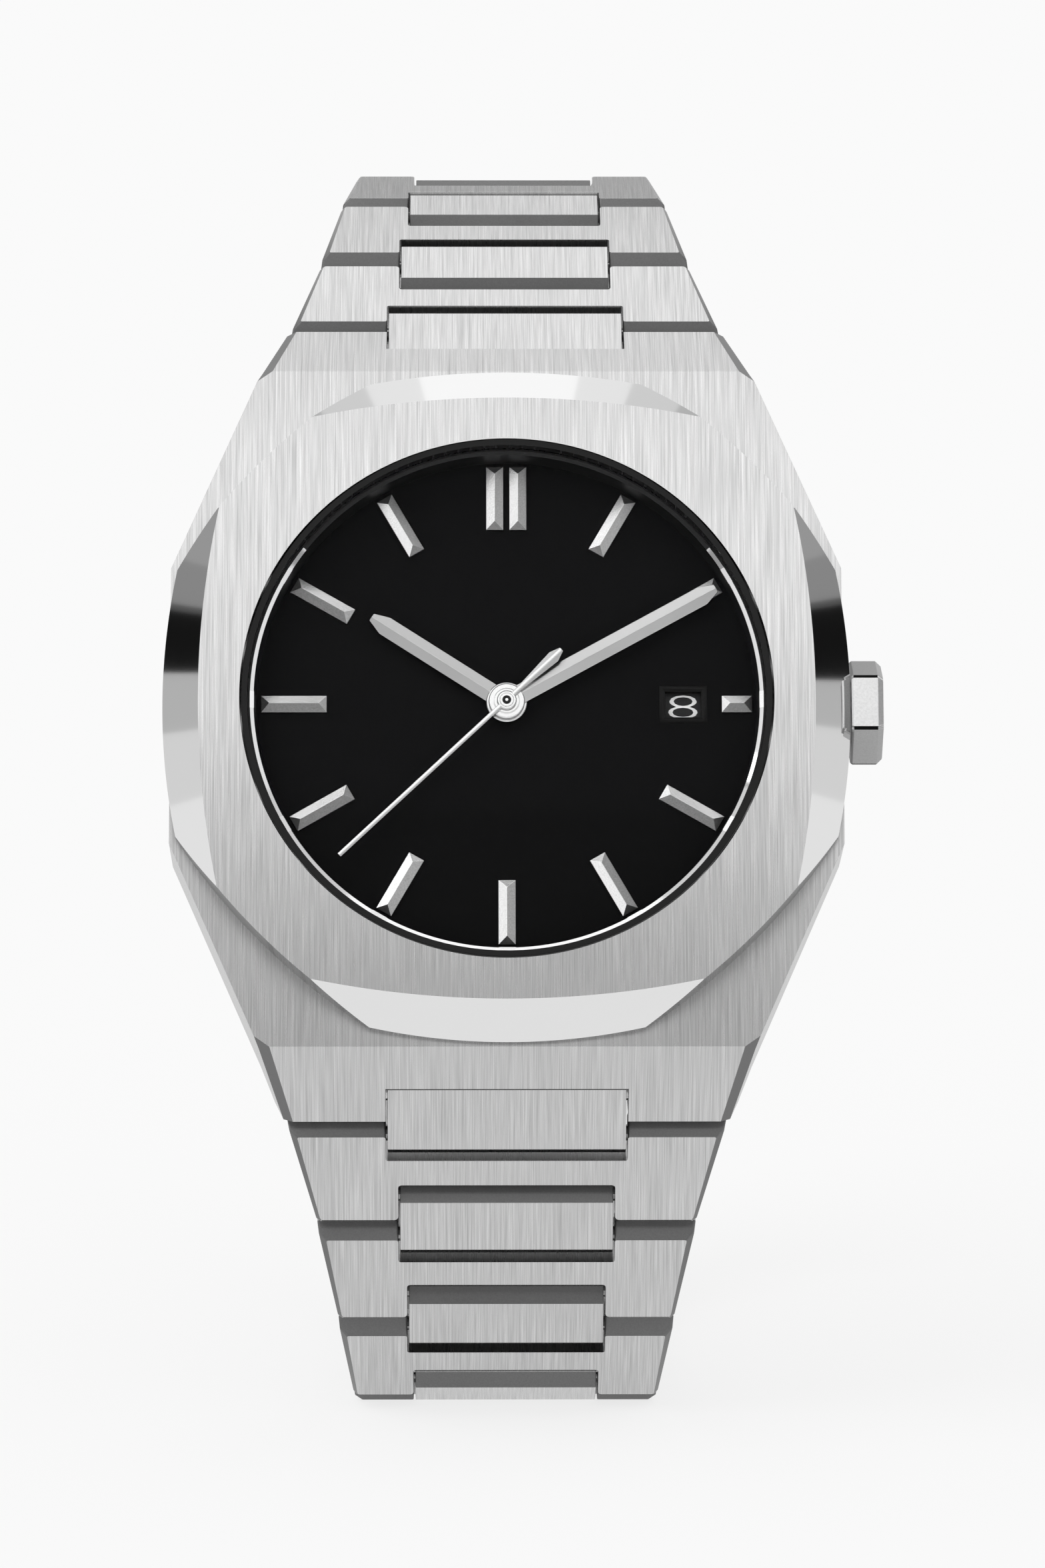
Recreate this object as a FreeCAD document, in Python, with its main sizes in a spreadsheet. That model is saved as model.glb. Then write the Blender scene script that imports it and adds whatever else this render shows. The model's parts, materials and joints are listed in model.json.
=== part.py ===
"""A steel wristwatch on its bracelet, closed and standing as it does on a table.

Own frame: X to the wearer's three o'clock side, Y away from the dial, Z up, in millimetres. The origin lies
on the table, in the middle of the outer face of the centre link on which the bracelet rests.

The head's pieces are drawn in the head's frame: X to three o'clock, Y to twelve o'clock, Z out of the dial,
with zero in the middle of the dial's face. Each bracelet piece is drawn in a frame of its own: X across,
Y along the bracelet away from the head, Z out of the wrist, with zero halfway between its two pins.
"""

import FreeCAD, Part
import math
import os
import re
import Sketcher
from FreeCAD import Placement, Rotation, Vector

SIZES = {
    # head: heights are above the dial's face
    "case_half_width": 20.5,
    "case_crease_reach": 21.15,
    "case_crease_half_width": 15.0,
    "case_top_height": -0.2,
    "case_bottom_height": -7.0,
    "case_bore_radius": 15.75,
    "case_shoulder_reach": 8.6,
    "notch_gap": 0.35,
    "notch_floor_gap": 0.3,
    "notch_clear_height": 3.0,
    "notch_lip_depth": 0.72,
    "notch_run_out": 0.2,
    "lug_tip_reach": 24.95,
    "lug_tip_height": -4.6,
    "lug_tip_half_width": 13.5,
    "lug_heel_reach": 23.3,
    "bezel_corner_radius": 21.85,
    "bezel_side_reach": 20.95,
    "bezel_side_radius": 41.0,
    "bezel_top_height": 2.4,
    "bezel_base_height": -0.2,
    "bezel_facet_reach": 18.72,
    "bezel_facet_radius": 58.0,
    "bezel_facet_slope": 45.0,
    "bezel_bore_radius": 16.1,
    "crystal_radius": 15.75,
    "crystal_seat_height": 1.5,
    "crystal_thickness": 1.0,
    "crystal_bevel": 0.2,
    "gasket_height": 0.8,
    "flange_foot_radius": 15.3,
    "flange_lip_radius": 15.65,
    "flange_wall": 0.08,
    "flange_gap": 0.02,
    "dial_radius": 15.6,
    "dial_thickness": 0.4,
    "marker_length": 4.0,
    "marker_short_length": 1.85,
    "marker_width": 1.05,
    "marker_height": 0.35,
    "marker_reach": 14.95,
    "marker_pair_spread": 1.42,
    "window_reach": 10.75,
    "window_length": 2.2,
    "window_width": 1.6,
    "window_frame_width": 0.35,
    "window_frame_height": 0.25,
    "hand_hole_radius": 0.9,
    "hour_hand_length": 9.8,
    "minute_hand_length": 14.6,
    "seconds_hand_length": 14.0,
    "seconds_tail_length": 4.6,
    "seconds_tail_waist": 2.76,
    "seconds_neck": 1.0,
    "hand_width": 1.25,
    "seconds_hand_width": 0.28,
    "seconds_tail_width": 0.75,
    "hand_thickness": 0.16,
    "hand_point_length": 0.94,
    "hand_point_half_width": 0.25,
    "pipe_depth": 0.3,
    "pivot_depth": 0.8,
    "hour_hand_height": 0.45,
    "minute_hand_height": 0.75,
    "seconds_hand_height": 1.05,
    "hour_hub_radius": 1.25,
    "minute_hub_radius": 1.1,
    "seconds_hub_radius": 0.75,
    "seconds_pivot_radius": 0.12,
    "minute_pipe_radius": 0.45,
    "hour_pipe_radius": 0.75,
    "date_ring_outer_radius": 12.8,
    "date_ring_inner_radius": 9.1,
    "date_ring_thickness": 0.2,
    "date_ring_gap": 0.1,
    "date_ring_play": 0.05,
    "pipe_play": 0.1,
    "movement_radius": 13.1,
    "movement_height": 2.9,
    "movement_back_room": 0.6,
    "rotor_gap": 0.1,
    "balance_radius": 4.2,
    "balance_reach": 6.6,
    "balance_thickness": 0.5,
    "balance_height": -4.35,
    "balance_rim_width": 0.6,
    "balance_arm_half_width": 0.35,
    "balance_staff_radius": 0.5,
    "balance_staff_reach": 0.4,
    "balance_staff_gap": 0.05,
    "rotor_radius": 12.6,
    "rotor_rim_width": 2.6,
    "rotor_height": -6.1,
    "rotor_thickness": 0.6,
    "rotor_rim_step": 0.5,
    "rotor_hub_radius": 2.2,
    "back_radius": 17.6,
    "back_height": -8.0,
    "back_window_radius": 13.0,
    "back_window_thickness": 1.0,
    "back_lip_width": 0.8,
    "back_step": 0.4,
    "back_fit_gap": 0.03,
    "back_screw_circle": 15.85,
    "back_screw_radius": 0.8,
    "back_screw_sunk": 0.1,
    "crown_height": -2.2,
    "crown_corner_radius": 3.3,
    "crown_stand_off": 0.2,
    "crown_length": 1.8,
    "crown_bevel": 0.35,
    "crown_skirt_depth": 0.9,
    "crown_skirt_play": 0.06,
    "crown_tube_radius": 1.25,
    "crown_tube_depth": 4.4,
    "crown_tube_gap": 0.01,
    "crown_collar_radius": 1.9,
    "crown_collar_gap": 0.05,
    "stem_radius": 0.55,
    "stem_length": 9.0,
    "crown_ring_thickness": 0.35,
    # bracelet
    "link_pitch": 6.75,
    "link_gap": 0.15,
    "link_thickness": 3.0,
    "link_bridge": 1.65,
    "link_width_at_case": 26.8,
    "link_first_taper": 3.6,
    "taper_decay": 0.7,
    "link_bevel": 0.9,
    "link_far_bevel": 0.15,
    "link_relief": 0.7,
    "relief_depth": 0.3,
    "centre_length": 4.35,
    "centre_width_at_case": 14.5,
    "centre_first_taper": 1.5,
    "centre_bevel": 0.8,
    "centre_far_bevel": 0.4,
    "centre_relief": 0.45,
    "pin_spacing": 2.7,
    "pin_radius": 0.5,
    "pin_play": 0.04,
    "side_play": 0.12,
    "pin_seat": 0.3,
    # clasp: offsets are measured outwards from the line of the pins
    "clasp_chord": 36.0,
    "clasp_bow_radius": 45.0,
    "clasp_width": 16.0,
    "clasp_wall": 0.9,
    "cover_outer_offset": 1.5,
    "cover_inner_offset": 0.7,
    "cover_foot_offset": -1.3,
    "outer_blade_top_offset": 0.5,
    "outer_blade_thickness": 0.75,
    "inner_blade_top_offset": -0.45,
    "inner_blade_thickness": 0.85,
    "blade_width": 12.2,
    "near_fold_inset": 2.5,
    "near_fold_offset": 0.2,
    "near_knuckle_radius": 0.6,
    "far_fold_inset": 3.4,
    "far_fold_offset": -0.35,
    "far_knuckle_radius": 0.9,
    "fold_room": 0.2,
    "clasp_pin_radius": 0.3,
    "ear_radius": 0.9,
    "cover_start_inset": 3.0,
    "cover_end_inset": 2.7,
    "tongue_block_inset": 2.05,
    "tongue_foot_offset": -0.75,
    "block_length": 0.95,
    "block_lap": 0.4,
    "blade_start_inset": 1.6,
    "blade_lap": 0.1,
    "tongue_gap": 0.1,
    "block_half_height": 1.3,
    "button_inset": 8.9,
    "button_length": 3.2,
    "button_height": 1.3,
    "button_offset": -0.3,
    "button_proud": 0.5,
    "button_play": 0.05,
    "button_flange": 0.3,
    "button_flange_rim": 0.25,
    # how far a cut runs on past what it cuts
    "overcut": 1.0,
    "long_overcut": 5.0,
    # how the closed bracelet stands
    "lean_angle": 20.5,
    "case_centre_angle": 35.0,
    "first_link_angle": 35.0,
    "second_link_angle": 41.5,
    "third_link_angle": 58.0,
    "lower_turn": 12.5,
    "upper_turn_decay": 0.8,
}

LINKS_ABOVE = 10
LINKS_BELOW = 7
FLAT_LINKS = (4, 5, 6)
REST_CENTRE = FLAT_LINKS[0]
HOURS = 12
SHORT_MARKER_HOUR = 3
BEZEL_SIDES = 8
BEZEL_FACETS = 4
BACK_SCREWS = 6
CROWN_SIDES = 6
HOUR_HAND_ANGLE = 303
MINUTE_HAND_ANGLE = 61
SECONDS_HAND_ANGLE = 226.5

CROWN_START = "( max(case_half_width; bezel_side_reach) + crown_stand_off )"

document = FreeCAD.newDocument("wristwatch")
sheet = document.addObject("Spreadsheet::Sheet", "Sizes")
for row, (alias, size) in enumerate(SIZES.items(), start=1):
    sheet.set(f"A{row}", alias)
    sheet.set(f"B{row}", str(size))
    sheet.setAlias(f"B{row}", alias)
document.recompute()

subparts = []


def size(alias):
    """The present value of a size in the sheet."""
    return float(getattr(sheet, alias))


def named(text):
    """An expression in which each size's plain name stands for its cell."""
    return re.sub(r"[a-z_]+", lambda w: f"Sizes.{w[0]}" if w[0] in SIZES else w[0], str(text))


def number(text):
    """What an expression of sizes comes to now."""
    return float(sheet.evalExpression(named(str(text))))


# ---------------------------------------------------------------- drawing


def new_body(label, placement, solids_apart=False):
    """An empty body for one sub-part, standing where the sub-part belongs."""
    body = document.addObject("PartDesign::Body", label)
    body.Label = label
    body.AllowCompound = solids_apart
    body.Placement = placement
    subparts.append(body)
    return body


def new_sketch(body, plane, height=None):
    """A sketch on one of the body's own planes, raised along the plane's normal where a height is given."""
    sketch = body.newObject("Sketcher::SketchObject", f"{body.Name}_sketch")
    base = [f for f in body.Origin.OriginFeatures if f.Role == plane][0]
    sketch.AttachmentSupport = [(base, "")]
    sketch.MapMode = "FlatFace"
    if height is not None:
        sketch.AttachmentOffset = Placement(Vector(0, 0, number(height)), Rotation())
        sketch.setExpression("AttachmentOffset.Base.z", named(str(height)))
    return sketch


def hold(sketch, kind, geometry, point, text):
    """Ties one coordinate of a point to an expression of sizes."""
    if str(text) == "0":
        axis = -2 if kind == "DistanceX" else -1
        sketch.addConstraint(Sketcher.Constraint("PointOnObject", geometry, point, axis))
        return
    made = sketch.addConstraint(Sketcher.Constraint(kind, -1, 1, geometry, point, number(text)))
    sketch.setExpression(f"Constraints[{made}]", named(str(text)))


def polygon(sketch, corners):
    """A closed outline through corners given as pairs of expressions."""
    spots = [Vector(number(x), number(y), 0) for x, y in corners]
    first = sketch.GeometryCount
    count = len(spots)
    lines = [Part.LineSegment(spots[i], spots[(i + 1) % count]) for i in range(count)]
    sketch.addGeometry(lines, False)
    joins = [
        Sketcher.Constraint("Coincident", first + i, 2, first + (i + 1) % count, 1)
        for i in range(count)
    ]
    sketch.addConstraint(joins)
    for i, (x, y) in enumerate(corners):
        hold(sketch, "DistanceX", first + i, 1, x)
        hold(sketch, "DistanceY", first + i, 1, y)


def rectangle(sketch, left, right, low, high):
    """A rectangle between four expressions."""
    polygon(sketch, [(left, low), (right, low), (right, high), (left, high)])


def circle(sketch, x, y, radius):
    """A circle with its centre and radius tied to sizes."""
    made = sketch.addGeometry(
        Part.Circle(Vector(number(x), number(y), 0), Vector(0, 0, 1), number(radius)), False
    )
    hold(sketch, "DistanceX", made, 3, x)
    hold(sketch, "DistanceY", made, 3, y)
    held = sketch.addConstraint(Sketcher.Constraint("Radius", made, number(radius)))
    sketch.setExpression(f"Constraints[{held}]", named(str(radius)))


def feature(body, kind, profile, length=None, both_ways=False, backwards=False, through=False):
    """A pad or a pocket of a sketch."""
    made = body.newObject(f"PartDesign::{kind}", f"{body.Name}_{kind.lower()}")
    made.Profile = profile
    if through:
        made.Type = "ThroughAll"
    else:
        made.Length = number(length)
        made.setExpression("Length", named(str(length)))
    made.Midplane = both_ways
    made.Reversed = backwards
    return made


def turned(body, kind, profile, axis="V_Axis", angle=360, both_ways=False):
    """A revolution or a groove of a sketch about one of the sketch's axes."""
    made = body.newObject(f"PartDesign::{kind}", f"{body.Name}_{kind.lower()}")
    made.Profile = profile
    made.ReferenceAxis = (profile, [axis])
    made.Angle = angle
    made.Midplane = both_ways
    return made


def round_piece(label, placement, profile):
    """A piece turned about the dial's axis, from pairs of radius and height."""
    body = new_body(label, placement)
    sketch = new_sketch(body, "XZ_Plane")
    polygon(sketch, profile)
    turned(body, "Revolution", sketch)
    return body


def repeated(body, original, count):
    """Copies of a feature evenly round the dial's axis."""
    pattern = body.newObject("PartDesign::PolarPattern", f"{body.Name}_pattern")
    pattern.Originals = [original]
    pattern.Axis = ([f for f in body.Origin.OriginFeatures if f.Role == "Z_Axis"][0], [""])
    pattern.Angle = 360
    pattern.Occurrences = count
    body.Tip = pattern
    return pattern


# ---------------------------------------------------------------- how the loop stands


def above(angle):
    """Turns a bracelet piece's frame to run at an angle from straight up, over the back."""
    return Rotation(Vector(1, 0, 0), 90 - angle)


def below(angle):
    """Turns a bracelet piece's frame to run at an angle from straight down, under the back."""
    return Rotation(Vector(1, 0, 0), 90 + angle) * Rotation(Vector(0, 0, 1), 180)


def walk(start, turn, angles):
    """The pins of one side, from the case's pin outwards, with each piece's direction in turn."""
    pins = [start]
    for index, angle in enumerate(angles):
        step = size("pin_spacing") if index % 2 == 0 else size("link_pitch") - size("pin_spacing")
        pins.append(pins[-1] + turn(angle).multVec(Vector(0, step, 0)))
    return pins


def case_pin():
    """Where the case's pin lies in the head's frame: as far along, and as far behind the dial's face."""
    along = math.radians(size("first_link_angle"))
    inset = (size("pin_spacing") - size("link_gap")) / 2
    depth = size("link_thickness") / 2
    reach = size("lug_tip_reach") + size("link_gap") * math.cos(along)
    sunk = -size("lug_tip_height") + size("link_gap") * math.sin(along)
    reach += inset * math.cos(along) - depth * math.sin(along)
    sunk += inset * math.sin(along) + depth * math.cos(along)
    back = math.radians(size("case_centre_angle"))
    spacing = size("pin_spacing")
    return reach - spacing * math.cos(back), sunk - spacing * math.sin(back)


def rest_angles(upper_turn):
    """Each piece's direction from the case outwards, above and below, with the upper side curled so far."""
    lean = size("lean_angle")
    near = [size("case_centre_angle"), size("first_link_angle"), size("first_link_angle")]
    near += [size("second_link_angle"), (size("second_link_angle") + size("third_link_angle")) / 2]
    near += [size("third_link_angle")]
    upper = [angle + lean for angle in near]
    turn = upper_turn
    while len(upper) < 2 * LINKS_ABOVE:
        upper.append(upper[-1] + turn)
        turn *= size("upper_turn_decay")
    lower = [angle - lean for angle in near]
    lower.append((lower[-1] + 90) / 2)
    lower += [90.0] * (2 * len(FLAT_LINKS) - 1)
    while len(lower) < 2 * LINKS_BELOW:
        lower.append(lower[-1] + size("lower_turn"))
    return upper, lower


def loop(upper_turn, clasp_angle):
    """Both sides' pins and directions, and by how much the clasp misses the last upper pin."""
    reach, sunk = case_pin()
    head = Rotation(Vector(1, 0, 0), 90 - size("lean_angle"))
    upper, lower = rest_angles(upper_turn)
    top = walk(head.multVec(Vector(0, reach, -sunk)), above, upper)
    bottom = walk(head.multVec(Vector(0, -reach, -sunk)), below, lower)
    chord = below(clasp_angle).multVec(Vector(0, size("clasp_chord"), 0))
    return top, upper, bottom, lower, bottom[-1] + chord - top[-1]


def closed_loop():
    """Curls the upper side and turns the clasp until the loop closes."""
    turn, clasp, step = 20.0, 150.0, 0.01
    for _ in range(40):
        miss = loop(turn, clasp)[4]
        if miss.Length < 1e-9:
            break
        by_turn = (loop(turn + step, clasp)[4] - miss) / step
        by_clasp = (loop(turn, clasp + step)[4] - miss) / step
        whole = by_turn.y * by_clasp.z - by_turn.z * by_clasp.y
        turn -= (miss.y * by_clasp.z - miss.z * by_clasp.y) / whole
        clasp -= (by_turn.y * miss.z - by_turn.z * miss.y) / whole
    top, upper, bottom, lower, _ = loop(turn, clasp)
    middle = (bottom[2 * REST_CENTRE] + bottom[2 * REST_CENTRE + 1]) / 2
    lift = Vector(0, -middle.y, size("link_thickness") / 2 - middle.z)
    return lift, [pin + lift for pin in top], upper, [pin + lift for pin in bottom], lower, clasp


HEAD_BASE, TOP_PINS, TOP_ANGLES, LOW_PINS, LOW_ANGLES, CLASP_ANGLE = closed_loop()
HEAD = Placement(HEAD_BASE, Rotation(Vector(1, 0, 0), 90 - size("lean_angle")))


def pointing(angle):
    """The head's frame, turned so that twelve o'clock comes to an angle clockwise round the dial."""
    return HEAD.multiply(Placement(Vector(), Rotation(Vector(0, 0, 1), -angle)))


# ---------------------------------------------------------------- case


def make_case():
    """The case middle, with its lugs, its notches for the first centre links and the lugs' pins."""
    body = new_body("case_middle", HEAD)
    plan = new_sketch(body, "XY_Plane", "case_bottom_height")
    right = [
        ("lug_tip_half_width", "0 - lug_tip_reach"),
        ("case_crease_half_width", "0 - case_crease_reach"),
        ("case_half_width", "0 - case_shoulder_reach"),
        ("case_half_width", "case_shoulder_reach"),
        ("case_crease_half_width", "case_crease_reach"),
        ("lug_tip_half_width", "lug_tip_reach"),
    ]
    left = [(f"0 - {x}", y) for x, y in reversed(right)]
    polygon(plan, right + left)
    feature(body, "Pad", plan, "case_top_height - case_bottom_height")
    # the lugs fall away from the crease, outside and at the heel
    slopes = new_sketch(body, "YZ_Plane")
    for way in ("", "0 - "):
        polygon(
            slopes,
            [
                (f"{way}case_crease_reach", "case_top_height"),
                (f"{way}lug_tip_reach", "lug_tip_height"),
                (f"{way}lug_heel_reach", "case_bottom_height"),
                (f"{way}( lug_tip_reach + long_overcut )", "case_bottom_height"),
                (f"{way}( lug_tip_reach + long_overcut )", "case_top_height"),
            ],
        )
    feature(body, "Pocket", slopes, both_ways=True, through=True)
    # notches for the first centre links
    reach, sunk = case_pin()
    notches = new_sketch(body, "YZ_Plane")
    tilt = math.radians(size("case_centre_angle"))
    behind = (size("centre_length") - size("pin_spacing")) / 2 + size("notch_gap")
    floor = size("link_thickness") / 2 + size("notch_floor_gap")
    clear = size("notch_clear_height")
    away, beyond = size("long_overcut"), floor + size("long_overcut")
    along = Vector(math.cos(tilt), -math.sin(tilt), 0)
    out = Vector(math.sin(tilt), math.cos(tilt), 0)
    pin = Vector(reach, -sunk, 0)
    corners = [
        pin - along * behind + out * clear,
        pin - along * behind - out * size("notch_lip_depth"),
        pin - along * (behind - size("notch_run_out")) - out * beyond,
        pin + along * away - out * beyond,
        pin + along * away + out * clear,
    ]
    for way in (1, -1):
        polygon(notches, [(f"{way * c.x:.6f}", f"{c.y:.6f}") for c in corners])
    feature(body, "Pocket", notches, "centre_width_at_case + 2 * side_play", both_ways=True)
    # bore, counterbore for the dial and seat for the back
    bore = new_sketch(body, "XZ_Plane")
    polygon(
        bore,
        [
            ("0", "case_top_height + overcut"),
            ("case_bore_radius", "case_top_height + overcut"),
            ("case_bore_radius", "case_bottom_height - overcut"),
            ("0", "case_bottom_height - overcut"),
        ],
    )
    turned(body, "Groove", bore)
    stem = new_sketch(body, "YZ_Plane")
    circle(stem, "0", "crown_height", "crown_tube_radius + crown_tube_gap")
    feature(body, "Pocket", stem, "case_half_width + overcut", backwards=True)
    bars = new_sketch(body, "YZ_Plane")
    circle(bars, f"{reach:.6f}", f"{-sunk:.6f}", "pin_radius")
    circle(bars, f"{-reach:.6f}", f"{-sunk:.6f}", "pin_radius")
    feature(body, "Pad", bars, "centre_width_at_case + 2 * side_play + 2 * pin_seat", both_ways=True)
    return body


def make_bezel():
    """The eight-sided bezel: bowed sides, and a polished facet falling away on four of them."""
    body = new_body("bezel", HEAD)
    disc = new_sketch(body, "XY_Plane", "bezel_base_height")
    circle(disc, "0", "0", "bezel_corner_radius")
    circle(disc, "0", "0", "flange_lip_radius + flange_wall + flange_gap")
    feature(body, "Pad", disc, "bezel_top_height - bezel_base_height")
    side = new_sketch(body, "XY_Plane")
    circle(side, "0", "bezel_side_reach - bezel_side_radius", "bezel_side_radius")
    circle(side, "0", "bezel_side_reach - bezel_side_radius", "bezel_side_radius + long_overcut")
    cut = feature(body, "Pocket", side, both_ways=True, through=True)
    repeated(body, cut, BEZEL_SIDES)
    seat = new_sketch(body, "XZ_Plane")
    rectangle(seat, "0", "bezel_bore_radius", "crystal_seat_height", "bezel_top_height + overcut")
    turned(body, "Groove", seat)
    facet = new_sketch(body, "YZ_Plane")
    drop = "( bezel_corner_radius - bezel_facet_reach + overcut )"
    polygon(
        facet,
        [
            ("bezel_facet_reach", "bezel_top_height"),
            (f"bezel_facet_reach + {drop}", f"bezel_top_height - {drop} * tan(bezel_facet_slope)"),
            (f"bezel_facet_reach + {drop}", "bezel_top_height + overcut"),
            ("bezel_facet_reach", "bezel_top_height + overcut"),
        ],
    )
    axis = sketch_axis(facet, "bezel_facet_reach - bezel_facet_radius")
    groove = turned(body, "Groove", facet, axis)
    repeated(body, groove, BEZEL_FACETS)
    return body


def sketch_axis(sketch, place):
    """An upright construction line in a sketch, for turning about; its name as an axis."""
    x = number(place)
    made = sketch.addGeometry(Part.LineSegment(Vector(x, -10, 0), Vector(x, 10, 0)), True)
    hold(sketch, "DistanceX", made, 1, place)
    hold(sketch, "DistanceX", made, 2, place)
    return "Axis0"


def make_case_pieces():
    """The turned pieces of the case: crystal, its gasket, flange ring, back, its window and its screws."""
    top = "( crystal_seat_height + crystal_thickness )"
    round_piece(
        "crystal",
        HEAD,
        [
            ("0", "crystal_seat_height"),
            ("crystal_radius", "crystal_seat_height"),
            ("crystal_radius", f"{top} - crystal_bevel"),
            ("crystal_radius - crystal_bevel", top),
            ("0", top),
        ],
    )
    round_piece(
        "crystal_gasket",
        HEAD,
        [
            ("crystal_radius", "crystal_seat_height"),
            ("bezel_bore_radius", "crystal_seat_height"),
            ("bezel_bore_radius", "crystal_seat_height + gasket_height"),
            ("crystal_radius", "crystal_seat_height + gasket_height"),
        ],
    )
    round_piece(
        "flange_ring",
        HEAD,
        [
            ("flange_foot_radius", "0"),
            ("flange_lip_radius + flange_wall", "0"),
            ("flange_lip_radius + flange_wall", "crystal_seat_height"),
            ("flange_lip_radius", "crystal_seat_height"),
        ],
    )
    round_piece(
        "caseback",
        HEAD,
        [
            ("back_window_radius", "case_bottom_height + back_step"),
            ("case_bore_radius - back_fit_gap", "case_bottom_height + back_step"),
            ("case_bore_radius - back_fit_gap", "case_bottom_height"),
            ("back_radius", "case_bottom_height"),
            ("back_radius", "back_height + back_step"),
            ("back_radius - back_step", "back_height"),
            ("back_window_radius - back_lip_width", "back_height"),
            ("back_window_radius - back_lip_width", "back_height + back_step"),
            ("back_window_radius", "back_height + back_step"),
        ],
    )
    body = document.getObject("caseback")
    heads = new_sketch(body, "XY_Plane", "back_height")
    circle(heads, "0", "back_screw_circle", "back_screw_radius + back_fit_gap")
    hole = feature(body, "Pocket", heads, "case_bottom_height - back_height", backwards=True)
    repeated(body, hole, BACK_SCREWS)
    round_piece(
        "caseback_window",
        HEAD,
        [
            ("0", "back_height + back_step"),
            ("back_window_radius", "back_height + back_step"),
            ("back_window_radius", "back_height + back_step + back_window_thickness"),
            ("0", "back_height + back_step + back_window_thickness"),
        ],
    )
    screws = new_body("caseback_screws", HEAD, solids_apart=True)
    heads = new_sketch(screws, "XY_Plane", "back_height + back_screw_sunk")
    circle(heads, "0", "back_screw_circle", "back_screw_radius")
    head = feature(screws, "Pad", heads, "case_bottom_height - back_height - back_screw_sunk")
    repeated(screws, head, BACK_SCREWS)


def make_dial():
    """The dial, its applied markers with the date window's frame, and the date ring behind it."""
    dial = new_body("dial", HEAD)
    face = new_sketch(dial, "XY_Plane", "0 - dial_thickness")
    circle(face, "0", "0", "dial_radius")
    circle(face, "0", "0", "hand_hole_radius")
    rectangle(
        face,
        "window_reach - window_length / 2",
        "window_reach + window_length / 2",
        "0 - window_width / 2",
        "window_width / 2",
    )
    feature(dial, "Pad", face, "dial_thickness")
    markers = new_body("hour_markers", HEAD, solids_apart=True)
    plan = new_sketch(markers, "XY_Plane")
    reach, long, half = size("marker_reach"), size("marker_length"), size("marker_width") / 2
    for hour in range(HOURS):
        inner = reach - (size("marker_short_length") if hour == SHORT_MARKER_HOUR else long)
        spreads = (0.0,) if hour else (size("marker_pair_spread") / 2, -size("marker_pair_spread") / 2)
        turn = Rotation(Vector(0, 0, 1), -360 / HOURS * hour)
        for spread in spreads:
            corners = [
                turn.multVec(Vector(spread + x, y, 0))
                for x, y in ((-half, inner), (half, inner), (half, reach), (-half, reach))
            ]
            polygon(plan, [(f"{c.x:.6f}", f"{c.y:.6f}") for c in corners])
    feature(markers, "Pad", plan, "marker_height")
    frame = new_sketch(markers, "XY_Plane")
    for grow in ("0", "window_frame_width"):
        rectangle(
            frame,
            f"window_reach - window_length / 2 - {grow}",
            f"window_reach + window_length / 2 + {grow}",
            f"0 - window_width / 2 - {grow}",
            f"window_width / 2 + {grow}",
        )
    feature(markers, "Pad", frame, "window_frame_height")
    round_piece(
        "date_ring",
        HEAD,
        [
            ("date_ring_inner_radius", "0 - dial_thickness - date_ring_gap - date_ring_thickness"),
            ("date_ring_outer_radius", "0 - dial_thickness - date_ring_gap - date_ring_thickness"),
            ("date_ring_outer_radius", "0 - dial_thickness - date_ring_gap"),
            ("date_ring_inner_radius", "0 - dial_thickness - date_ring_gap"),
        ],
    )


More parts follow.
